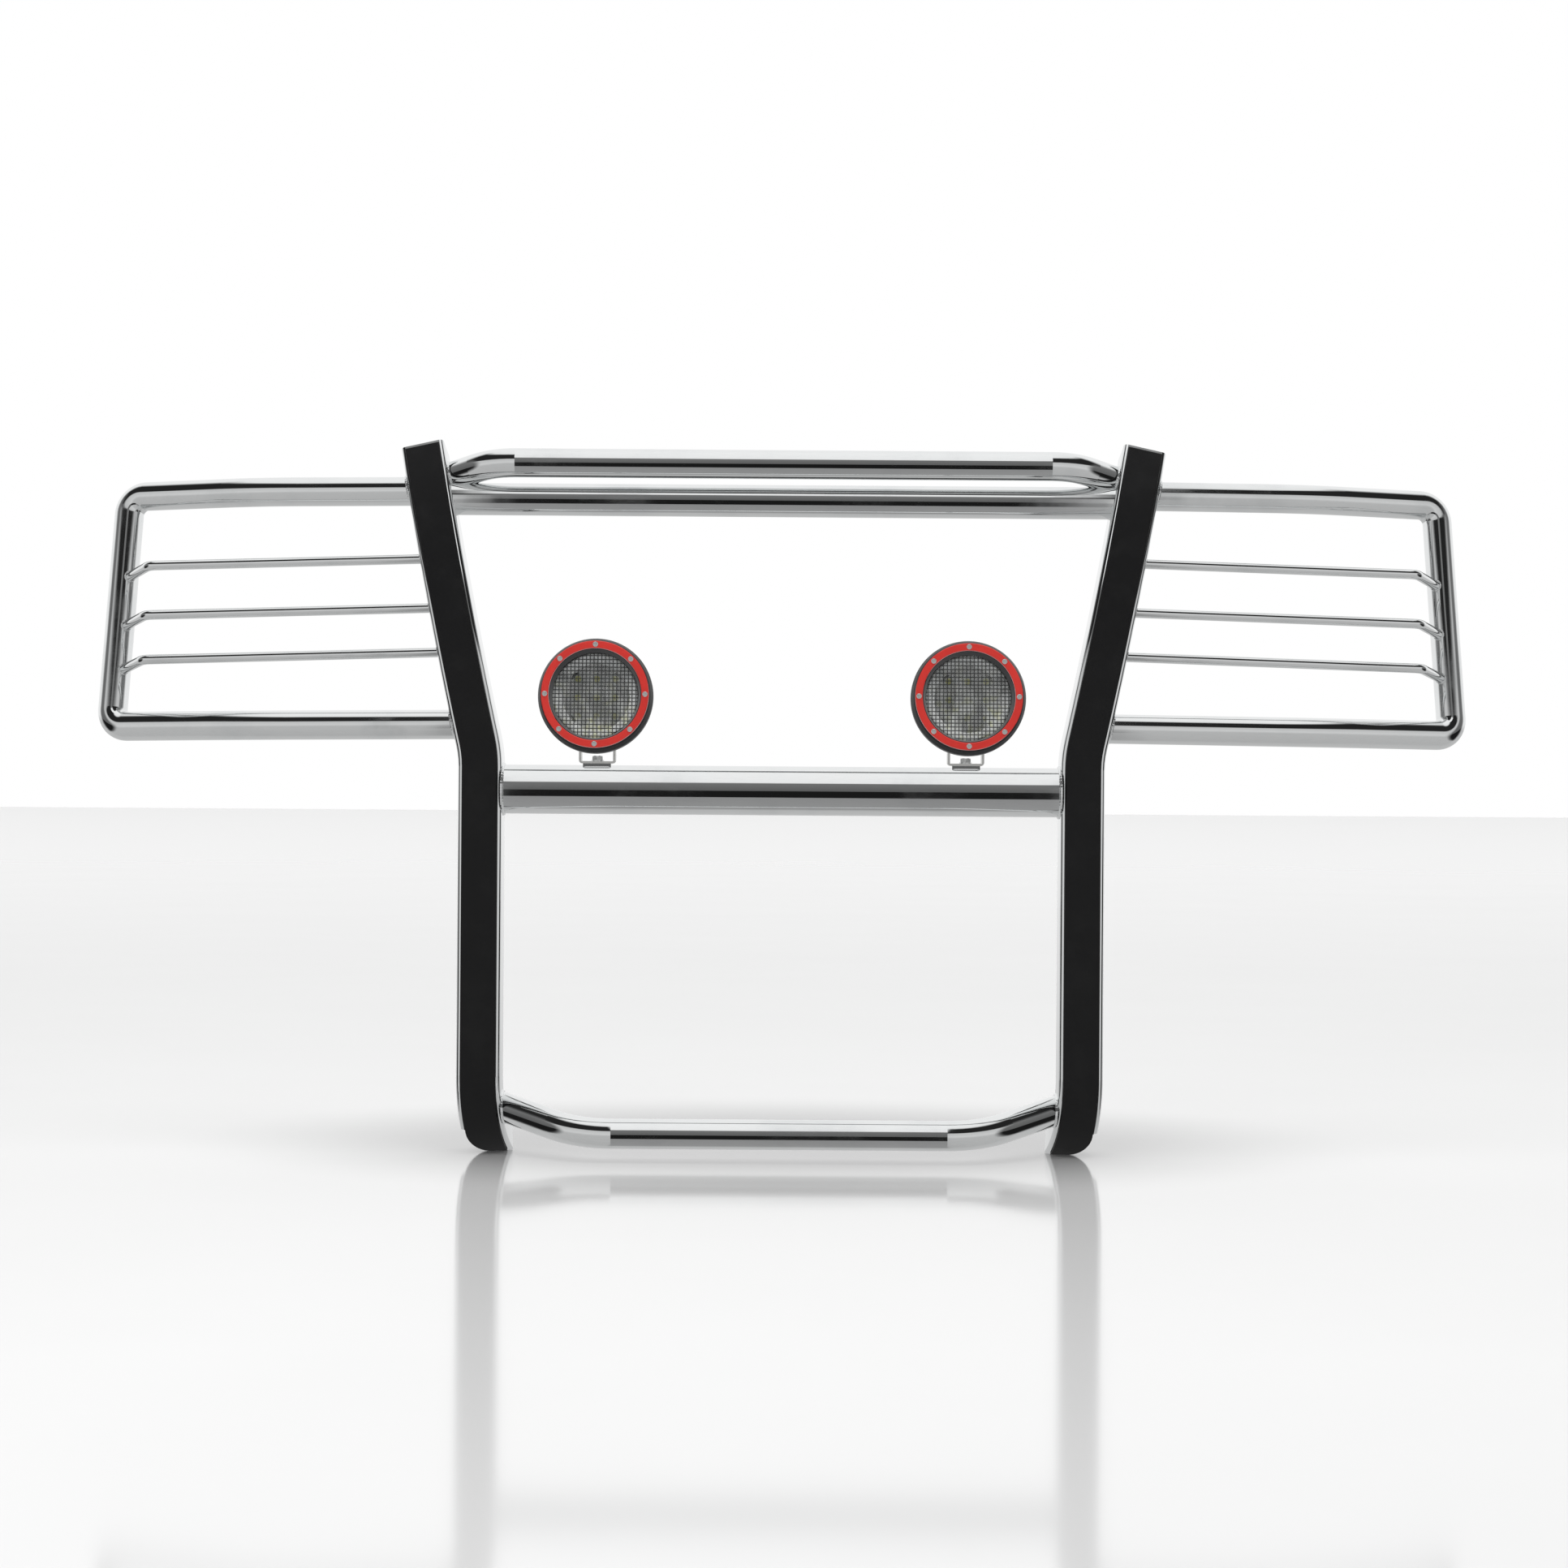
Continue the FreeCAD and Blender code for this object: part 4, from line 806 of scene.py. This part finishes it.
def lensSurface():
    # front: a shallow crown; back: square pillows, lower by rib * (u^2 + v^2) / 2, where u and v
    # run from -1 to 1 across each cell
    size = lamp["lens"]
    columns = size["columns"]
    turn = turnsOf(columns)

    def sheet(count, height):
        radius = np.linspace(0, 1, count + 1)[1:, None] * size["radius"]
        x, z = radius * np.cos(turn), radius * np.sin(turn)
        return np.stack([x, height(x, z), z], -1).reshape(-1, 3)

    def front(x, z):
        share = np.clip(np.hypot(x, z) / size["flat"], 0, 1)
        return size["front"] - size["crown"] * (1 - share ** 2)

    def back(x, z):
        u, v = (2 * ((w / size["pitch"] + 0.5) % 1) - 1 for w in (x, z))
        fade = np.clip((size["flat"] - np.hypot(x, z)) / size["fade"], 0, 1)
        return size["back"] - size["rib"] * (u ** 2 + v ** 2) / 2 * fade

    ahead, behind = sheet(size["frontRings"], front), sheet(size["rings"], back)
    points = np.vstack([[[0, size["front"] - size["crown"], 0]], ahead, behind,
                        [[0, size["back"], 0]]])
    first = 1 + np.arange(size["frontRings"]) * columns
    second = 1 + len(ahead) + np.arange(size["rings"]) * columns
    return outward(points, bands(first[:-1], first[1:], columns)
                   + bands(first[-1:], second[-1:], columns)
                   + bands(second[1:], second[:-1], columns)
                   + fan(0, first[0], columns) + fan(len(points) - 1, second[0], columns, -1))


def screwSurfaces():
    # pan heads with a hexagon socket
    size = lamp["screws"]
    head, rise, floor = size["head"], size["rise"], size["rise"] - size["depth"]
    socket = hexRadius(size["columns"], size["socket"])
    profile = [(floor, 0), (floor, 0.96 * socket), (rise - size["lead"], socket),
               (rise, socket * 1.07), (rise, 0.62 * head), (0.93 * rise, 0.76 * head),
               (0.74 * rise, 0.9 * head), (0.42 * rise, 0.99 * head), (0.08 * rise, head),
               (0, 0.97 * head), (0, size["shank"]), (-size["length"], size["shank"]),
               (-size["length"], 0)]
    return [latheSurface(profile, (size["circle"] * math.cos(t), size["seat"],
                                   size["circle"] * math.sin(t)),
                         (0, -1, 0), (math.cos(3 * t), 0, math.sin(3 * t)), size["columns"])
            for t in turnsOf(size["count"])]


def sourceSurfaces():
    # a low silicone dome on a round base
    size = lamp["sources"]
    radius, rise = size["radius"], size["rise"]
    share = np.linspace(0, np.pi / 2, size["steps"])[:-1]
    profile = [(0, 0), (0, radius), (0.3 * rise, radius), (0.35 * rise, 0.93 * radius),
               *zip(rise * (0.35 + 0.65 * np.sin(share)), size["dome"] * np.cos(share)),
               (rise, 0)]
    return [latheSurface(profile, (x * size["spacing"], size["seat"], z * size["spacing"]),
                         (0, -1, 0), (1, 0, 0), size["columns"])
            for x in (-1, 0, 1) for z in (-1, 0, 1)]


def glandSurfaces():
    # a hexagon nut against the housing, and a cap whose grip waves once for each flute
    size = lamp["gland"]
    columns, body, soft = size["columns"], size["body"], size["soft"]
    length, nutEnd, wave = size["length"], size["nutLength"], size["fluting"]
    fluted = body * (1 - wave + wave * np.cos(size["flutes"] * turnsOf(columns)))
    nut = np.minimum(hexRadius(columns, size["nutFlats"]), size["nut"])
    profile = [(0, 0), (0, 0.97 * nut), (soft, nut), (nutEnd - soft, nut), (nutEnd, 0.95 * nut),
               (nutEnd, 0.86 * body), (nutEnd + 1.0 * mm, 0.86 * body),
               (nutEnd + 1.2 * mm, 0.95 * fluted), (nutEnd + 1.8 * mm, fluted),
               (length - 3 * mm, fluted), (length - 1 * mm, 0.88 * body),
               (length, 0.72 * body), (length, 1.25 * size["bore"]),
               (length - soft, size["bore"]), (size["blind"], size["bore"]),
               (size["blind"], 0)]
    return [latheSurface(profile, (0, size["seat"], -size["drop"]), (0, 1, 0), (1, 0, 0),
                         columns)]


def makeLamp(side):
    # each new piece, its surfaces, its finish and the CAD node that it stands in for
    for name, surfaces, finish, stands in (
            ("ribbed_lens_", [lensSurface()], "lens_clear", "lamp_lens_"),
            ("socket_screws_", screwSurfaces(), "zinc_steel", "bezel_screws_"),
            ("light_sources_", sourceSurfaces(), "emitter_yellow", "led_emitters_"),
            ("gland_cap_", glandSurfaces(), "lamp_black_plastic", "cable_gland_")):
        makePiece(name + side, [onLamp(surface, side) for surface in surfaces], finish,
                  "lamp_" + side, [stands + side])


unmirrored = ("lamp_", "ribbed_", "socket_", "light_", "gland_", "tilt_", "lens_", "led_")


def keepOutOfReflections():
    # the lamps and their mountings leave no dark patches in the tubes
    for piece in bpy.data.objects:
        if piece.type == "MESH" and piece.name.startswith(unmirrored):
            piece.visible_glossy = False


makeCamera()
makeDome()
makePanels()
makeFloor()
bpy.context.scene.view_settings.view_transform = "Standard"
print("studio ready")
finishes = {slot: maker() for slot, maker in finishMakers.items()}
dressNodes()
print("finishes on", len(nodes), "nodes")
for side in sides:
    makeWelds(side)
print("weld beads laid")
makeBolting()
print("bolts in")
for side in sides:
    makeLamp(side)
print("lamps fitted")
keepOutOfReflections()
